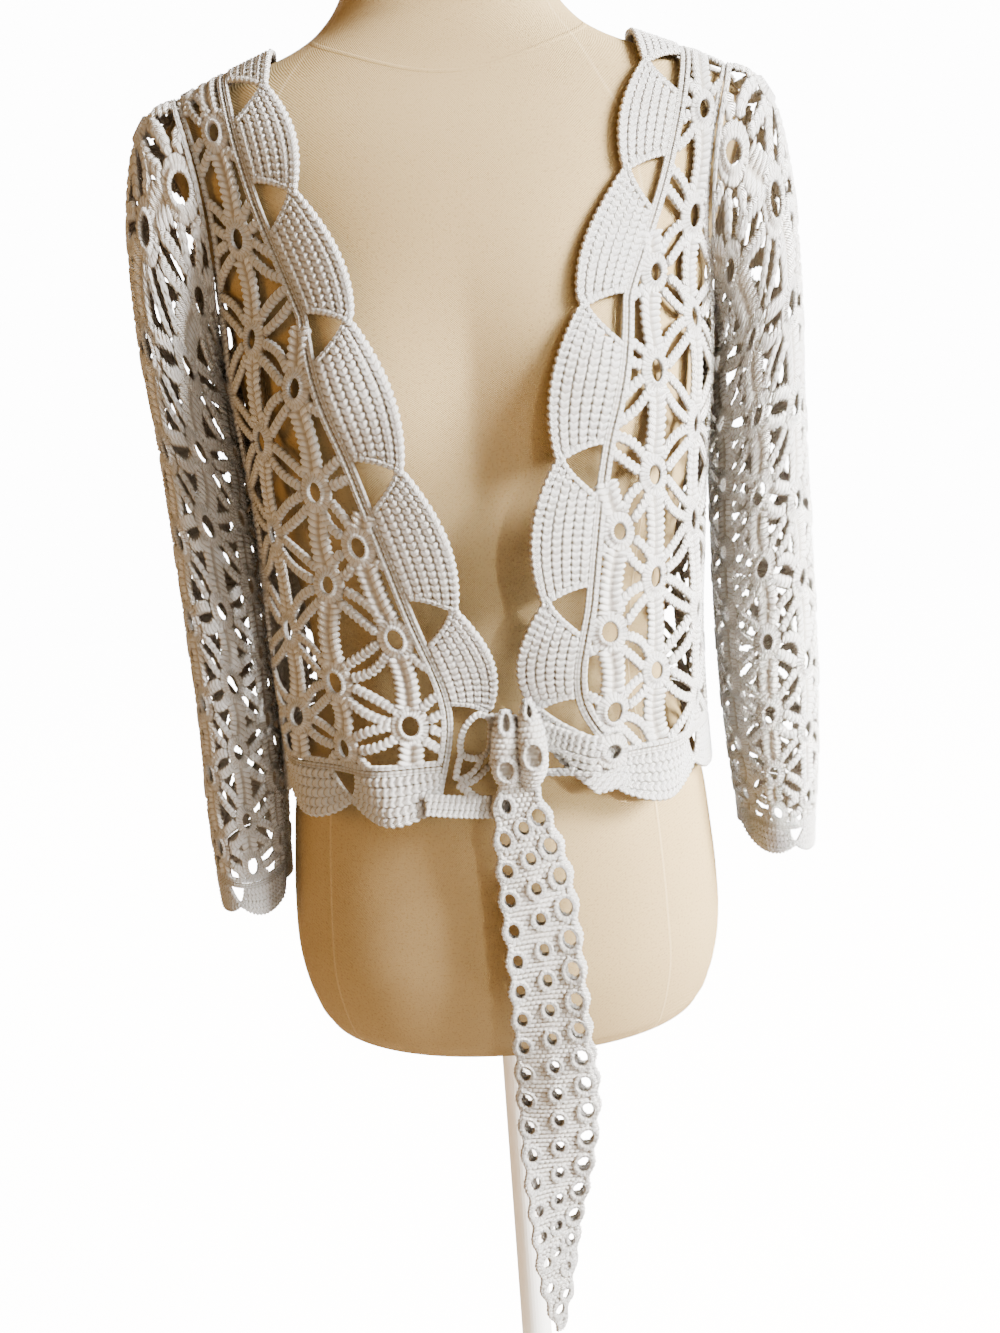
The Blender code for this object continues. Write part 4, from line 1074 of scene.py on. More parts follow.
# The same border turns round the back of the neck, in three shallower leaves.
# Its ends rise to the shoulder line, where they meet the borders of the fronts.
neck_valleys = np.array((-1.0, -1 / 3, 1 / 3, 1.0)) * NECK_WIDE


def neck_edge(u):
    f = np.clip(u / NECK_WIDE, -1, 1)
    line, _ = neck_lines(f)
    share = ((f + 1) * 1.5) % 1.0
    line[:, 1] += 0.5 * SCALLOP * scallop(share)
    line[:, 1] = np.minimum(line[:, 1], BACK.top(line[:, 0]))
    return line


def neck_bar(u):
    f = np.clip(u / NECK_WIDE, -1, 1)
    line, seam = neck_lines(f)
    way = line - seam
    return seam + way / np.linalg.norm(way, axis=1, keepdims=True) * BAR_INSET


neck_work = Crochet()
leaf_border(neck_work, neck_valleys, neck_edge, neck_bar, 5, 14 * MM, 7 * MM)
neck_border = neck_work.hang("scalloped_neck_border", BACK, white_cotton)
crocheted(neck_border, ("neck_border_back",), neck_work.area)


# The hem has a border of curved shells below a double cord, joined to the panels and worked
# in three lengths, for the back and for each front.
HEM_DROP = 12 * MM
HEM_SCALLOP = 14 * MM
HEM_PITCH = 66 * MM


def hem_border(name, surface, first, last):
    shells = max(1, round((last - first) / HEM_PITCH))
    valleys = np.linspace(first, last, shells + 1)

    def edge(u):
        share = (u - first) / (last - first) * shells % 1.0
        return np.stack([u, -HEM_DROP - HEM_SCALLOP * scallop(share)], axis=1)

    def bar(u):
        return np.stack([u, HEM_SEAM - BAR_INSET + 0 * u], axis=1)

    crochet = Crochet()
    leaf_border(crochet, valleys, edge, bar, 5, 18 * MM, 9 * MM)
    piece = crochet.hang("scalloped_" + name, surface, white_cotton)
    crocheted(piece, (name,), crochet.area)


hem_right_end = float(front_edge("right", np.array([HEM_SEAM]))[0]) - BORDER_WIDTH
hem_left_end = float(front_edge("left", np.array([HEM_SEAM]))[0]) + BORDER_WIDTH
hem_border("hem_border_back", BACK, SIDE_LEFT, SIDE_RIGHT_BACK)
hem_border("hem_border_right", FRONT, SIDE_RIGHT, hem_right_end)
hem_border("hem_border_left", FRONT, hem_left_end, SIDE_LEFT)


# Each sleeve is a tube of the same openwork, set into the armhole and hanging at the side.
# It is empty, so it falls flat, and its far side shows through the gaps.
SLEEVE_GIRTH = 0.276
SLEEVE_LENGTH = 0.425
SLEEVE_COLUMNS = 8
SEAM_BLEND = 0.070
SLEEVE_EASE = 0.8 * MM
WALL = 2.2 * MM
SLEEVE_COLUMN_NAMES = ("t", "outer_x", "outer_z", "inner_x", "inner_z", "centre_y", "half_depth")
LEFT_SLEEVE = table(
    SLEEVE_COLUMN_NAMES,
    (
        (0.000, 0.1690, 1.1250, 0.160, 0.982, 0.000, 0.056),
        (0.012, 0.1805, 1.1225, 0.160, 0.975, 0.000, 0.057),
        (0.026, 0.1910, 1.1150, 0.160, 0.967, 0.000, 0.057),
        (0.042, 0.1980, 1.1000, 0.160, 0.957, 0.000, 0.058),
        (0.060, 0.2030, 1.0750, 0.160, 0.945, 0.000, 0.058),
        (0.098, 0.2090, 1.020, 0.160, 0.915, -0.002, 0.057),
        (0.165, 0.2130, 0.930, 0.161, 0.862, -0.004, 0.055),
        (0.257, 0.2200, 0.820, 0.163, 0.782, -0.005, 0.053),
        (0.323, 0.2240, 0.747, 0.167, 0.722, -0.005, 0.052),
        (0.394, 0.2240, 0.678, 0.174, 0.665, -0.005, 0.052),
        (0.443, 0.2220, 0.634, 0.179, 0.630, -0.005, 0.050),
        (0.463, 0.2220, 0.616, 0.180, 0.612, -0.005, 0.050),
    ),
)
RIGHT_SLEEVE = table(
    SLEEVE_COLUMN_NAMES,
    (
        (0.000, 0.1690, 1.1250, 0.160, 0.982, 0.000, 0.056),
        (0.012, 0.1805, 1.1225, 0.160, 0.975, 0.000, 0.057),
        (0.026, 0.1910, 1.1150, 0.160, 0.967, 0.000, 0.057),
        (0.042, 0.1970, 1.1020, 0.159, 0.957, 0.000, 0.058),
        (0.060, 0.2020, 1.0780, 0.158, 0.945, -0.001, 0.058),
        (0.098, 0.2060, 1.020, 0.157, 0.915, -0.004, 0.057),
        (0.165, 0.2020, 0.930, 0.156, 0.862, -0.008, 0.055),
        (0.257, 0.2000, 0.820, 0.155, 0.780, -0.012, 0.053),
        (0.323, 0.2000, 0.747, 0.156, 0.720, -0.013, 0.052),
        (0.394, 0.2030, 0.676, 0.158, 0.656, -0.012, 0.052),
        (0.443, 0.2030, 0.621, 0.161, 0.611, -0.010, 0.050),
        (0.463, 0.2020, 0.602, 0.162, 0.592, -0.010, 0.050),
    ),
)


def sleeve_surface(rows, side):
    """A hanging sleeve, flat by its turn round from the outer line and its length down."""
    s = np.linspace(-SLEEVE_GIRTH / 2, SLEEVE_GIRTH / 2, 121)
    t = np.arange(0.0, rows["t"][-1] + 0.0001, 0.0035)
    turn = (s / SLEEVE_GIRTH * 2 * math.pi)[:, None] + 0 * t
    read = {name: eased(rows["t"], rows[name], t) for name in SLEEVE_COLUMN_NAMES[1:]}
    share = 0.5 + 0.5 * np.cos(turn)
    x = read["inner_x"] + (read["outer_x"] - read["inner_x"]) * share
    z = read["inner_z"] + (read["outer_z"] - read["inner_z"]) * share
    y = read["centre_y"] - read["half_depth"] * np.sin(turn)
    points = np.stack([side * x, y, z], axis=-1)

    # The top ring is the armhole, moved out from the body as the sleeve turns under
    degrees = np.abs(np.degrees(turn[:, 0]))
    fold = np.clip(degrees / 150, 0, 1)
    away = 0.5 * MM + (2 * WALL + 1.2 * MM) * fold**2 * (3 - 2 * fold)
    front_s, front_t = armhole(side, False, degrees)
    back_s, back_t = armhole(side, True, degrees)
    on_front = FRONT.place(front_s + side * SLEEVE_EASE, front_t, away)
    on_back = BACK.place(back_s - side * SLEEVE_EASE, back_t, away)
    ring = np.where(turn[:, :1] > 0, on_front, on_back)
    fade = np.clip(1 - t / SEAM_BLEND, 0, 1)
    fade = fade * fade * (3 - 2 * fade)
    points = points + (ring - points[:, 0])[:, None] * fade[None, :, None]

    # Below the armpit the sleeve keeps clear of the body beside it
    angle = np.arctan2(points[..., 0], -points[..., 1])
    radius = np.hypot(points[..., 0], points[..., 1])
    least = cloth_radius(angle, points[..., 2]) + away[:, None]
    over = least - radius
    push = (over + np.sqrt(over**2 + (1.0 * MM) ** 2)) / 2 * (t > 0)
    points[..., 0] += push * np.sin(angle)
    points[..., 1] -= push * np.cos(angle)
    return Surface(s, t, points, flip=side < 0)


SLEEVES = {-1: sleeve_surface(RIGHT_SLEEVE, -1), 1: sleeve_surface(LEFT_SLEEVE, 1)}


def build_sleeve(side, name, seed):
    crochet = Crochet()
    wide = 2 * SLEEVE_GIRTH
    outline = np.array(((-wide, 0), (wide, 0), (wide, SLEEVE_LENGTH), (-wide, SLEEVE_LENGTH)))
    pitch = (SLEEVE_GIRTH / SLEEVE_COLUMNS, 50 * MM)
    start = (pitch[0] / 2, 0.026)
    openwork(crochet, outline, start, pitch, seed, SLEEVE_COLUMNS, full=1.50, step=1.6 * MM)
    round_the_tube = np.arange(-SLEEVE_GIRTH / 2, SLEEVE_GIRTH / 2, 1.4 * MM)
    for t in (2.0 * MM, SLEEVE_LENGTH - 2.0 * MM):
        path = np.stack([round_the_tube, t + 0 * round_the_tube], axis=1)
        row = np.concatenate([path, path[:1] + (SLEEVE_GIRTH, 0)])
        crochet.strand(row, EDGING_HALF, EDGING_STRAND)
    piece = crochet.hang("crocheted_" + name, SLEEVES[side], white_cotton, wrap=SLEEVE_GIRTH)
    halves = (name + "_front", name + "_back")
    crocheted(piece, halves, crochet.area)


build_sleeve(-1, "sleeve_right", 21)
build_sleeve(1, "sleeve_left", 22)


# Each cuff is a short border of four shells round the sleeve's end.
# It is worked like the other borders, and follows the sleeve's own surface.
CUFF_DROP = 18 * MM
CUFF_SCALLOP = 10 * MM
CUFF_SHELLS = 4


def build_cuff(side, name):
    valleys = np.linspace(-SLEEVE_GIRTH / 2, SLEEVE_GIRTH / 2, CUFF_SHELLS + 1)

    def edge(u):
        share = (u / SLEEVE_GIRTH + 0.5) * CUFF_SHELLS % 1.0
        return np.stack([u, SLEEVE_LENGTH + CUFF_DROP + CUFF_SCALLOP * scallop(share)], axis=1)

    def bar(u):
        return np.stack([u, SLEEVE_LENGTH + BAR_INSET + 0 * u], axis=1)

    crochet = Crochet()
    leaf_border(crochet, valleys, edge, bar, 4, 16 * MM, 8 * MM)
    piece = crochet.hang("scalloped_" + name, SLEEVES[side], white_cotton, wrap=SLEEVE_GIRTH)
    halves = (name + "_front", name + "_back")
    crocheted(piece, halves, crochet.area)


build_cuff(-1, "cuff_right")
build_cuff(1, "cuff_left")


# The tie's two ends hang from the knot: long strips of close single crochet with three staggered
# columns of eyelets. Each eyelet has a raised rim, and the outer ones make the edges wavy.
TAIL = table(
    ("z", "x", "half_width"),
    (
        (0.7130, 0.0110, 0.0125),
        (0.700, 0.0120, 0.0160),
        (0.647, 0.0186, 0.0235),
        (0.590, 0.0222, 0.0250),
        (0.533, 0.0236, 0.0255),
        (0.464, 0.0248, 0.0265),
        (0.409, 0.0208, 0.0220),
        (0.368, 0.0174, 0.0165),
        (0.340, 0.0172, 0.0130),
        (0.304, 0.0170, 0.0030),
    ),
)
EYELET_PITCH = 21 * MM
FIRST_EYELET = 30 * MM
TWIST = 0.42
KNOB_ROW = 3.3 * MM
TOWARDS_VIEWER = np.array((0.0, -1.0, 0.0))
EYELET_RIM = (CORD, 2.5 * MM, 0.45, 0.30, 0.12)
TAIL_EDGE = (CORD, 3.2 * MM, 0.50, 0.40, 0.25)


def knobs(across, row):
    """Height of single crochet, from -1 to 1: a knob a stitch, each row half a stitch on."""
    stitch = across / (3.4 * MM) + 0.5 * np.floor(row)
    return 2 * np.abs(np.sin(math.pi * stitch)) ** 0.8 * np.abs(np.sin(math.pi * row)) ** 0.8 - 1


def followed(path, count):
    """Lengths along a path in space, the points there, and the path's direction at each."""
    run = run_along(path)
    t = np.linspace(0, run[-1], count)
    middle = np.stack([eased(run, path[:, k], t) for k in range(3)], axis=-1)
    onward = np.gradient(middle, axis=0)
    return run, t, middle, onward / np.linalg.norm(onward, axis=1, keepdims=True)


def close_crochet(crochet, low, high, half_at, eyelets, step):
    """A sheet of close single crochet between two lengths, open at its eyelets.

    half_at gives its half width at each length, and eyelets are (s, t, half width, half length).
    """
    t = np.linspace(low, high, math.ceil((high - low) / step) + 1)
    reach = float(half_at(t).max())
    s = np.linspace(-reach, reach, math.ceil(2 * reach / step) + 1)
    columns, rows = len(s), len(t)
    at_s, at_t = np.meshgrid(s, t, indexing="ij")
    squeeze = np.minimum(1.0, half_at(t) / reach)[None]
    at_s = at_s * squeeze
    row = at_t / KNOB_ROW
    bump = knobs(at_s, row)
    top = (2.0 + 0.8 * bump) * MM
    base = np.full_like(top, 0.3 * MM)
    mid_s = (at_s[:-1, :-1] + at_s[1:, 1:]) / 2
    mid_t = (at_t[:-1, :-1] + at_t[1:, 1:]) / 2
    keep = np.ones(mid_s.shape, bool)
    for hole_s, hole_t, wide, long in eyelets:
        keep &= ((mid_s - hole_s) / wide) ** 2 + ((mid_t - hole_t) / long) ** 2 > 1.15
    i, j = np.nonzero(keep)
    a, b = i * rows + j, (i + 1) * rows + j
    quads = np.stack([a, b, b + 1, a + 1], axis=1)
    size = columns * rows
    sides = set()
    for k in range(4):
        sides.update(zip(quads[:, k].tolist(), quads[:, (k + 1) % 4].tolist()))
    walls = [(q, p, p + size, q + size) for p, q in sorted(sides) if (q, p) not in sides]
    used = np.unique(np.concatenate([quads.ravel(), np.array(walls).ravel() % size]))
    fresh = np.full(2 * size, -1)
    fresh[used] = np.arange(len(used))
    fresh[used + size] = np.arange(len(used)) + len(used)
    for block in (quads, quads[:, ::-1] + size, np.array(walls)):
        crochet.faces.append(fresh[block] + crochet.count)
    flat = np.stack([at_s, at_t, top], axis=2).reshape(-1, 3)[used]
    under = np.stack([at_s, at_t, base], axis=2).reshape(-1, 3)[used]
    crochet.flat += [flat, under]
    stitch = flat[:, 1::-1] * (STITCH / KNOB_ROW, 1)
    crochet.stitches += [stitch, stitch]
    # Raised shares for painted shade: darker between the knobs, and the underside painted wholly in shade.
    crochet.raised.append(np.clip(0.55 + 0.6 * bump.ravel()[used], 0, 1))
    crochet.raised.append(np.zeros(len(used)))
    crochet.count += 2 * len(used)
    crochet.area += float((keep * np.diff(at_s, axis=0)[:, :-1]).sum() * (t[1] - t[0]))


def eyelet_rim(crochet, s, t, wide, long, half=1.7 * MM, lift=0.4 * MM):
    ring = np.array((s, t)) + oval(wide + half, long + half, 28)
    crochet.strand(ring, half, EYELET_RIM, closed=True, lift=lift)


def build_tail(name, y, top, shift, step):
    """One tie end at depth y. shift moves its lower end sideways and up, against the table."""
    z = TAIL["z"].copy()
    z[0] = top
    lower = (z[0] - z) / (z[0] - z[-1])
    x = TAIL["x"] + shift[0] * lower**2
    z = z + shift[1] * lower
    path = np.stack([x, np.full(len(x), y), z], axis=1)
    run, t, middle, onward = followed(path, 181)
    s = np.linspace(-0.034, 0.034, 35)
    fall = np.clip((t - 0.19) / 0.19, 0, 1)
    angle = TWIST * fall**2 * (3 - 2 * fall) + 0.08 * np.sin(t / 0.045) * np.clip(t / 0.05, 0, 1)
    flat_way = np.cross(onward, TOWARDS_VIEWER)
    across = flat_way * np.cos(angle)[:, None] + TOWARDS_VIEWER * np.sin(angle)[:, None]
    points = middle[None] + across[None] * s[:, None, None]
    free = np.clip((t - 0.03) / 0.05, 0, 1)
    cupped = 5.0 * (s[:, None] ** 2) * np.sin(t / 0.028)[None]
    points[..., 1] += 1.6 * MM * np.sin(t / 0.037) * free + cupped * free
    surface = Surface(s, t, points)
    if surface.normals[len(s) // 2, len(t) // 2, 1] > 0:
        surface.turn_over()

    def half_at(u):
        return eased(run, TAIL["half_width"], u)

    end = run[-1]
    eyelets = []
    for k in range(-1, 22):
        for column in (-1, 0, 1):
            at = FIRST_EYELET + EYELET_PITCH * (k + 0.25 * column)
            half = float(half_at(np.array([at]))[0])
            if at < 0.012 or at > end - 0.016 or (column == 0 and half < 0.0165):
                continue
            if half < 0.0115:
                eyelets += [(0.0, at, 3.0 * MM, 4.4 * MM)] if column > 0 else []
            elif half < 0.0165:
                eyelets.append((column * 0.5 * half, at, 2.8 * MM, 4.4 * MM))
            elif column > 0:
                eyelets.append((half - 7.0 * MM, at, 3.4 * MM, 4.8 * MM))
            elif column < 0:
                eyelets.append((8.0 * MM - half, at, 4.3 * MM, 6.0 * MM))
            else:
                eyelets.append((0.0, at, 3.2 * MM, 4.4 * MM))

    def inner_half_at(u):
        return np.maximum(half_at(u) - 3.6 * MM, 0.8 * MM)

    crochet = Crochet()
    close_crochet(crochet, 0.5 * MM, end - 1 * MM, inner_half_at, eyelets, step)
    rims = Crochet()
    for eyelet in eyelets:
        eyelet_rim(rims, *eyelet)
    u = np.arange(1 * MM, end - 1 * MM, 1.1 * MM)
    half = half_at(u)
    for sign in (-1, 1):
        wave = 0.5 + 0.5 * np.cos(2 * math.pi * (u - FIRST_EYELET - sign * EYELET_PITCH / 4) / EYELET_PITCH)
        off = np.maximum(half - 3.9 * MM + 2.5 * MM * wave, 0.8 * MM)
        edge = np.stack([sign * off, u], axis=1)
        rims.strand(edge, np.minimum(2.0 * MM, 0.8 * half), TAIL_EDGE)
    beads = rims.hang("rims_of_" + name, surface, white_cotton)
    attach(beads, "root")
    piece = crochet.hang("eyelet_" + name, surface, white_cotton)
    crocheted(piece, (name,), crochet.area)


build_tail("tie_tail_front", -0.1185, 0.7147, (0.0, 0.0), 0.95 * MM)
build_tail("tie_tail_back", -0.1138, 0.7141, (0.007, 0.030), 1.5 * MM)


# A short band of cords runs from each front corner to the knot, over the border. The left one ends
# in a ring at the corner, and the right one goes round the border's last gap and ends in a picot.
BAND_BASE = 4.1 * MM
BAND_CORD = (CORD, 3.6 * MM, 0.50, 0.45, 0.16)
BAND_LOOP = (CORD, 3.4 * MM, 0.50, 0.30, 0.14)
BAND_RING = (WASHER, 2.3 * MM, 0.50, 0.0, 0.12)
BAND_ALLOWANCE = 1.15


def build_band(side, cords, loops, ring):
    """A band of cords and closed loops, each with its half width, and the ring at its corner.

    Its area is taken as 15% above the flat area that the cords cover. No pattern gives that
    allowance, and without it the left band would be over the sheet check's limit.
    """
    crochet = Crochet()
    for n, (half, path) in enumerate(cords):
        line = smooth_line(path, False)
        crochet.strand(line, half, BAND_CORD, lift=BAND_BASE, phase=0.3 * n)
    for half, path in loops:
        crochet.strand(smooth_line(path, True), half, BAND_LOOP, closed=True, lift=BAND_BASE)
    if ring:
        line = np.array(ring[:2]) + oval(ring[2], ring[2], 40)
        crochet.strand(line, WASHER_HALF, BAND_RING, closed=True, lift=BAND_BASE)
    piece = crochet.hang("tie_band_of_" + side, FRONT, white_cotton)
    area = BAND_ALLOWANCE * crochet.area
    crocheted(piece, ("tie_band_" + side,), area)


def smooth_line(path, closed):
    """A rounded line through flat points, closed into a loop or open."""
    p = np.array(path)
    if closed:
        p = np.concatenate([p[-2:], p, p[:3]])
    run = run_along(p)
    low, high = (run[2], run[-3]) if closed else (0.0, run[-1])
    at = np.linspace(low, high, math.ceil((high - low) / (0.9 * MM)) + 1)
    at = at[:-1] if closed else at
    return np.stack([eased(run, p[:, 0], at), eased(run, p[:, 1], at)], axis=1)


build_band(
    "right",
    (
        (2.3 * MM, ((0.0030, 0.0425), (0.0020, 0.0300), (0.0015, 0.0160), (0.0000, 0.0060))),
        (2.3 * MM, ((-0.0010, 0.0430), (-0.0022, 0.0300), (-0.0024, 0.0170), (-0.0050, 0.0070))),
        (2.2 * MM, ((-0.0255, 0.0180), (-0.0285, 0.0090), (-0.0300, 0.0010))),
        (2.2 * MM, ((-0.0110, 0.0140), (-0.0150, 0.0080), (-0.0215, 0.0030), (-0.0290, 0.0010))),
        (2.2 * MM, ((-0.0060, 0.0080), (-0.0120, 0.0030), (-0.0190, -0.0010), (-0.0270, -0.0020))),
        (2.9 * MM, ((-0.0285, -0.0010), (-0.0235, -0.0060), (-0.0185, -0.0110), (-0.0120, -0.0150))),
        (2.5 * MM, ((-0.0500, -0.0080), (-0.0300, -0.0110), (-0.0100, -0.0135), (0.0080, -0.0145))),
        (2.5 * MM, ((-0.0500, -0.0125), (-0.0300, -0.0157), (-0.0100, -0.0182), (0.0080, -0.0190))),
        (2.5 * MM, ((-0.0500, -0.0170), (-0.0300, -0.0205), (-0.0100, -0.0229), (0.0080, -0.0235))),
    ),
    (
        (2.2 * MM, (
            (-0.0250, 0.0175), (-0.0245, 0.0290), (-0.0185, 0.0385), (-0.0100, 0.0430), (-0.0040, 0.0400),
            (-0.0036, 0.0280), (-0.0065, 0.0175), (-0.0140, 0.0135),
        )),
    ),
    None,
)
build_band(
    "left",
    (
        (2.3 * MM, ((0.0290, 0.0355), (0.0420, 0.0305), (0.0540, 0.0255), (0.0670, 0.0225))),
        (2.3 * MM, ((0.0290, 0.0310), (0.0420, 0.0262), (0.0540, 0.0215), (0.0660, 0.0180))),
        (2.3 * MM, ((0.0290, 0.0265), (0.0420, 0.0219), (0.0530, 0.0176), (0.0640, 0.0135))),
        (2.2 * MM, ((0.0300, 0.0222), (0.0400, 0.0190), (0.0500, 0.0140), (0.0620, 0.0090))),
        (2.0 * MM, ((0.0500, 0.0098), (0.0560, 0.0068), (0.0640, 0.0050))),
        (1.6 * MM, ((0.0300, 0.0022), (0.0400, 0.0022), (0.0500, 0.0025), (0.0620, 0.0020))),
    ),
    (
        (1.7 * MM, (
            (0.0325, 0.0050), (0.0325, 0.0130), (0.0365, 0.0178), (0.0425, 0.0170), (0.0480, 0.0120),
            (0.0500, 0.0060), (0.0420, 0.0040),
        )),
    ),
    (0.0711, 0.0146, 7.9 * MM),
)


# The knot is the same strip, doubled and pulled tight: two upright folds lie side by side in
# front, each with its eyelets, and one turn goes round behind them from band to band.
KNOT_CUT = (0.052, 0.075)
KNOT_STEP = 0.95 * MM


def knot_fold(name, path, half_width, half_depth, eyelets):
    """One padded fold of the strip, as a closed tube with an oval section."""
    run, t, middle, onward = followed(np.array(path), 61)
    ahead_way = TOWARDS_VIEWER - onward * (onward @ TOWARDS_VIEWER)[:, None]
    ahead_way /= np.linalg.norm(ahead_way, axis=1, keepdims=True)
    across = np.cross(ahead_way, onward)
    share = t / run[-1]
    closing = np.clip(np.sin(math.pi * share), 0, 1) ** 0.35
    stations = np.linspace(0, 1, len(half_width))
    wide = eased(stations, np.array(half_width), share) * closing + 0.3 * MM
    deep = eased(stations, np.array(half_depth), share) * closing + 0.3 * MM
    turn = np.linspace(-math.pi, math.pi, 49)
    out = np.cos(turn)[:, None, None] * deep[None, :, None] * ahead_way[None]
    side = np.sin(turn)[:, None, None] * wide[None, :, None] * across[None]
    girth = 2 * math.pi * math.sqrt((max(half_width) ** 2 + max(half_depth) ** 2) / 2)
    s = turn / (2 * math.pi) * girth
    surface = Surface(s, t, middle[None] + out + side)
    if (surface.normals * (out + side)).sum() < 0:
        surface.turn_over()
    rows = math.ceil(run[-1] / KNOT_STEP)
    around_count = math.ceil(girth / KNOT_STEP)
    at_s = np.linspace(-girth / 2, girth / 2, around_count + 1)[:-1]
    at_t = np.linspace(0.4 * MM, run[-1] - 0.4 * MM, rows)
    grid_s, grid_t = np.meshgrid(at_s, at_t, indexing="ij")
    bump = knobs(grid_s, grid_t / KNOB_ROW)
    dip = np.zeros_like(grid_s)
    for hole_s, hole_t, hole_wide, hole_long in eyelets:
        off = ((grid_s - hole_s) / hole_wide) ** 2 + ((grid_t - hole_t) / hole_long) ** 2
        dip = np.maximum(dip, np.exp(-(off**2)))
    height = (0.4 + 0.8 * bump * (1 - dip) - 3.0 * dip) * MM
    crochet = Crochet()
    a = np.arange(around_count)[:, None] * rows + np.arange(rows - 1)[None]
    b = (np.arange(around_count)[:, None] + 1) % around_count * rows + np.arange(rows - 1)[None]
    crochet.faces.append(np.stack([a, b, b + 1, a + 1], axis=2).reshape(-1, 4))
    crochet.faces.append((np.arange(around_count) * rows)[None, ::-1])
    crochet.faces.append((np.arange(around_count) * rows + rows - 1)[None])
    crochet.flat.append(np.stack([grid_s, grid_t, height], axis=2).reshape(-1, 3))
    crochet.stitches.append(crochet.flat[0][:, 1::-1] * (STITCH / KNOB_ROW, 1))
    # Raised shares for painted shade: darker between the knobs and darkest in the eyelets' dips.
    crochet.raised.append(np.clip(0.55 + 0.6 * bump - 0.9 * dip, 0, 1).ravel())
    crochet.count = around_count * rows
    for hole in eyelets:
        eyelet_rim(crochet, *hole, half=1.5 * MM, lift=-0.6 * MM)
    return crochet.hang(name, surface, white_cotton)


knot_folds = [
    knot_fold(
        "knot_fold_right",
        (
            (0.0075, -0.1170, 0.7605), (0.0070, -0.1205, 0.7540), (0.0060, -0.1225, 0.7400),
            (0.0055, -0.1225, 0.7240), (0.0070, -0.1195, 0.7100),
        ),
        (0.0060, 0.0078, 0.0076, 0.0086, 0.0075), (0.0035, 0.0050, 0.0055, 0.0050, 0.0030),
        ((0.0, 0.0085, 2.6 * MM, 4.4 * MM), (0.0, 0.0355, 3.6 * MM, 5.6 * MM)),
    ),
    knot_fold(
        "knot_fold_left",
        (
            (0.0205, -0.1165, 0.7660), (0.0208, -0.1215, 0.7590), (0.0218, -0.1250, 0.7430),
            (0.0218, -0.1240, 0.7260), (0.0190, -0.1200, 0.7100),
        ),
        (0.0045, 0.0070, 0.0078, 0.0088, 0.0075), (0.0035, 0.0050, 0.0060, 0.0055, 0.0030),
        ((0.0005, 0.0090, 1.9 * MM, 3.2 * MM), (0.0, 0.0330, 4.0 * MM, 6.6 * MM)),
    ),
    knot_fold(
        "knot_turn",
        (
            (-0.0020, -0.1125, 0.7380), (0.0050, -0.1140, 0.7390), (0.0140, -0.1150, 0.7400),
            (0.0230, -0.1150, 0.7380), (0.0320, -0.1130, 0.7340),
        ),
        (0.0100, 0.0140, 0.0150, 0.0140, 0.0100), (0.0030, 0.0050, 0.0060, 0.0050, 0.0030),
        (),
    ),
]
bpy.ops.object.select_all(action="DESELECT")
for fold in knot_folds:
    fold.select_set(True)
bpy.context.view_layer.objects.active = knot_folds[0]
bpy.ops.object.join()
knot = knot_folds[0]
knot.name = "crocheted_tie_knot"
knot_area = KNOT_CUT[0] * KNOT_CUT[1]
crocheted(knot, ("tie_knot",), knot_area)


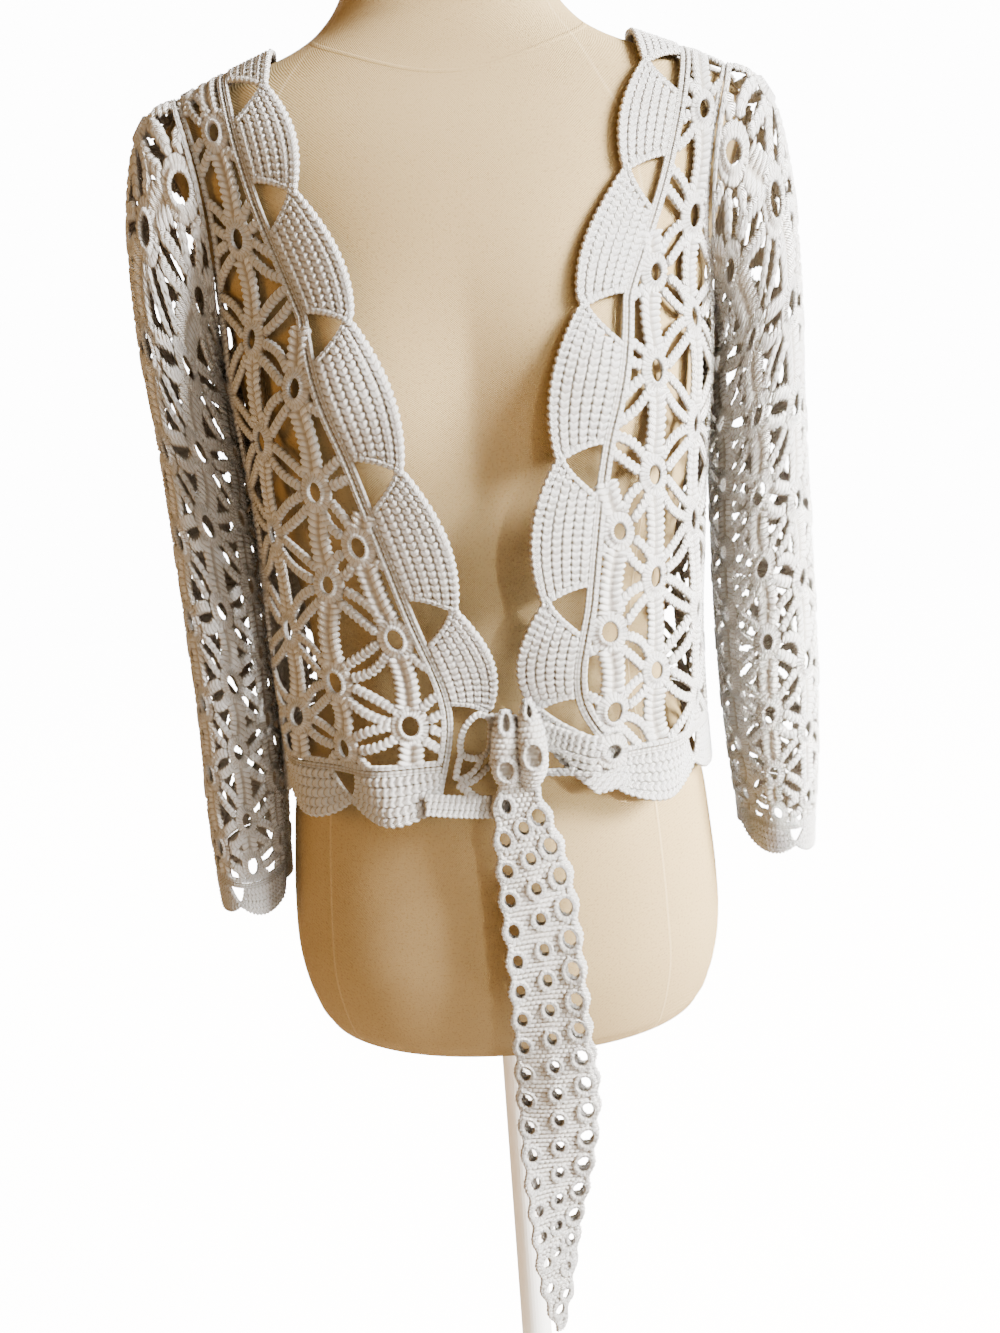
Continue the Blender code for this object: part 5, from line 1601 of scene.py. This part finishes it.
# The floor and the room show white to the camera, and light the form warm and dim from its right
# and bright from the window at its left. Fills, a narrow light on the left sleeve and one from
# behind go with the window light, so that no side is left in the dark.
bpy.ops.object.select_all(action="DESELECT")
bpy.ops.mesh.primitive_plane_add(size=8.0, location=(0, 0, 0))
floor = bpy.context.object
floor.name = "floor"
floor_finish, tree, shader = new_material("pale_floor", (0.31, 0.23, 0.155), 0.6)
objects = node(tree, "ShaderNodeTexCoord").outputs["Object"]
tree.links.new(
    mixed_colour(tree, noise(tree, objects, 3.0), (0.32, 0.24, 0.16, 1), (0.30, 0.225, 0.15, 1)),
    shader.inputs["Base Color"],
)
shader.inputs["Emission Color"].default_value = (1.0, 1.0, 1.0, 1.0)
seen = node(tree, "ShaderNodeLightPath").outputs["Is Camera Ray"]
tree.links.new(ranged(tree, seen, 0.0, 1.0, 0.15, 14.0), shader.inputs["Emission Strength"])
floor.data.materials.append(floor_finish)


def area_light(name, place, aim, size, power, colour, spread=180):
    """A square light, with its width in metres, its power in watts and its spread in degrees."""
    light = bpy.data.lights.new(name, "AREA")
    light.spread = math.radians(spread)
    light.size = size
    light.energy = power
    light.color = colour
    lamp = bpy.data.objects.new(name, light)
    way = Vector(aim) - Vector(place)
    lamp.matrix_world = Matrix.Translation(place) @ way.to_track_quat("-Z", "Y").to_matrix().to_4x4()
    bpy.context.scene.collection.objects.link(lamp)


area_light("window_light", (1.85, -0.75, 1.70), (0, 0, 0.9), 0.75, 560, (0.98, 0.985, 1.0))
area_light("front_fill", (0.9, -2.1, 1.3), (0, 0, 0.9), 1.2, 15, (1.0, 0.90, 0.74))
area_light("warm_fill", (-1.9, -1.0, 1.3), (0, 0, 0.9), 1.2, 29, (1.0, 0.58, 0.20))
area_light("sleeve_light", (1.3, -1.7, 1.3), (0.42, 0, 0.76), 0.4, 11, (0.97, 0.985, 1.0), 18)
area_light("back_light", (-0.9, 2.5, 1.9), (0, 0, 0.9), 1.4, 150, (1.0, 0.97, 0.93))
world = bpy.data.worlds.new("studio")
bpy.context.scene.world = world
world.use_nodes = True
tree = world.node_tree
background = tree.nodes["Background"]
direction = node(tree, "ShaderNodeTexCoord").outputs["Generated"]
split = node(tree, "ShaderNodeSeparateXYZ")
tree.links.new(direction, split.inputs[0])
to_window = ranged(tree, split.outputs["X"], 0.25, 1.0)
room = mixed_colour(tree, to_window, (0.24, 0.14, 0.055, 1), (5.4, 5.5, 5.6, 1))
seen = node(tree, "ShaderNodeLightPath").outputs["Is Camera Ray"]
room = mixed_colour(tree, seen, room, (1.0, 1.0, 1.0, 1))
tree.links.new(room, background.inputs["Color"])
tree.links.new(ranged(tree, seen, 0.0, 1.0, 0.5, 14.0), background.inputs["Strength"])
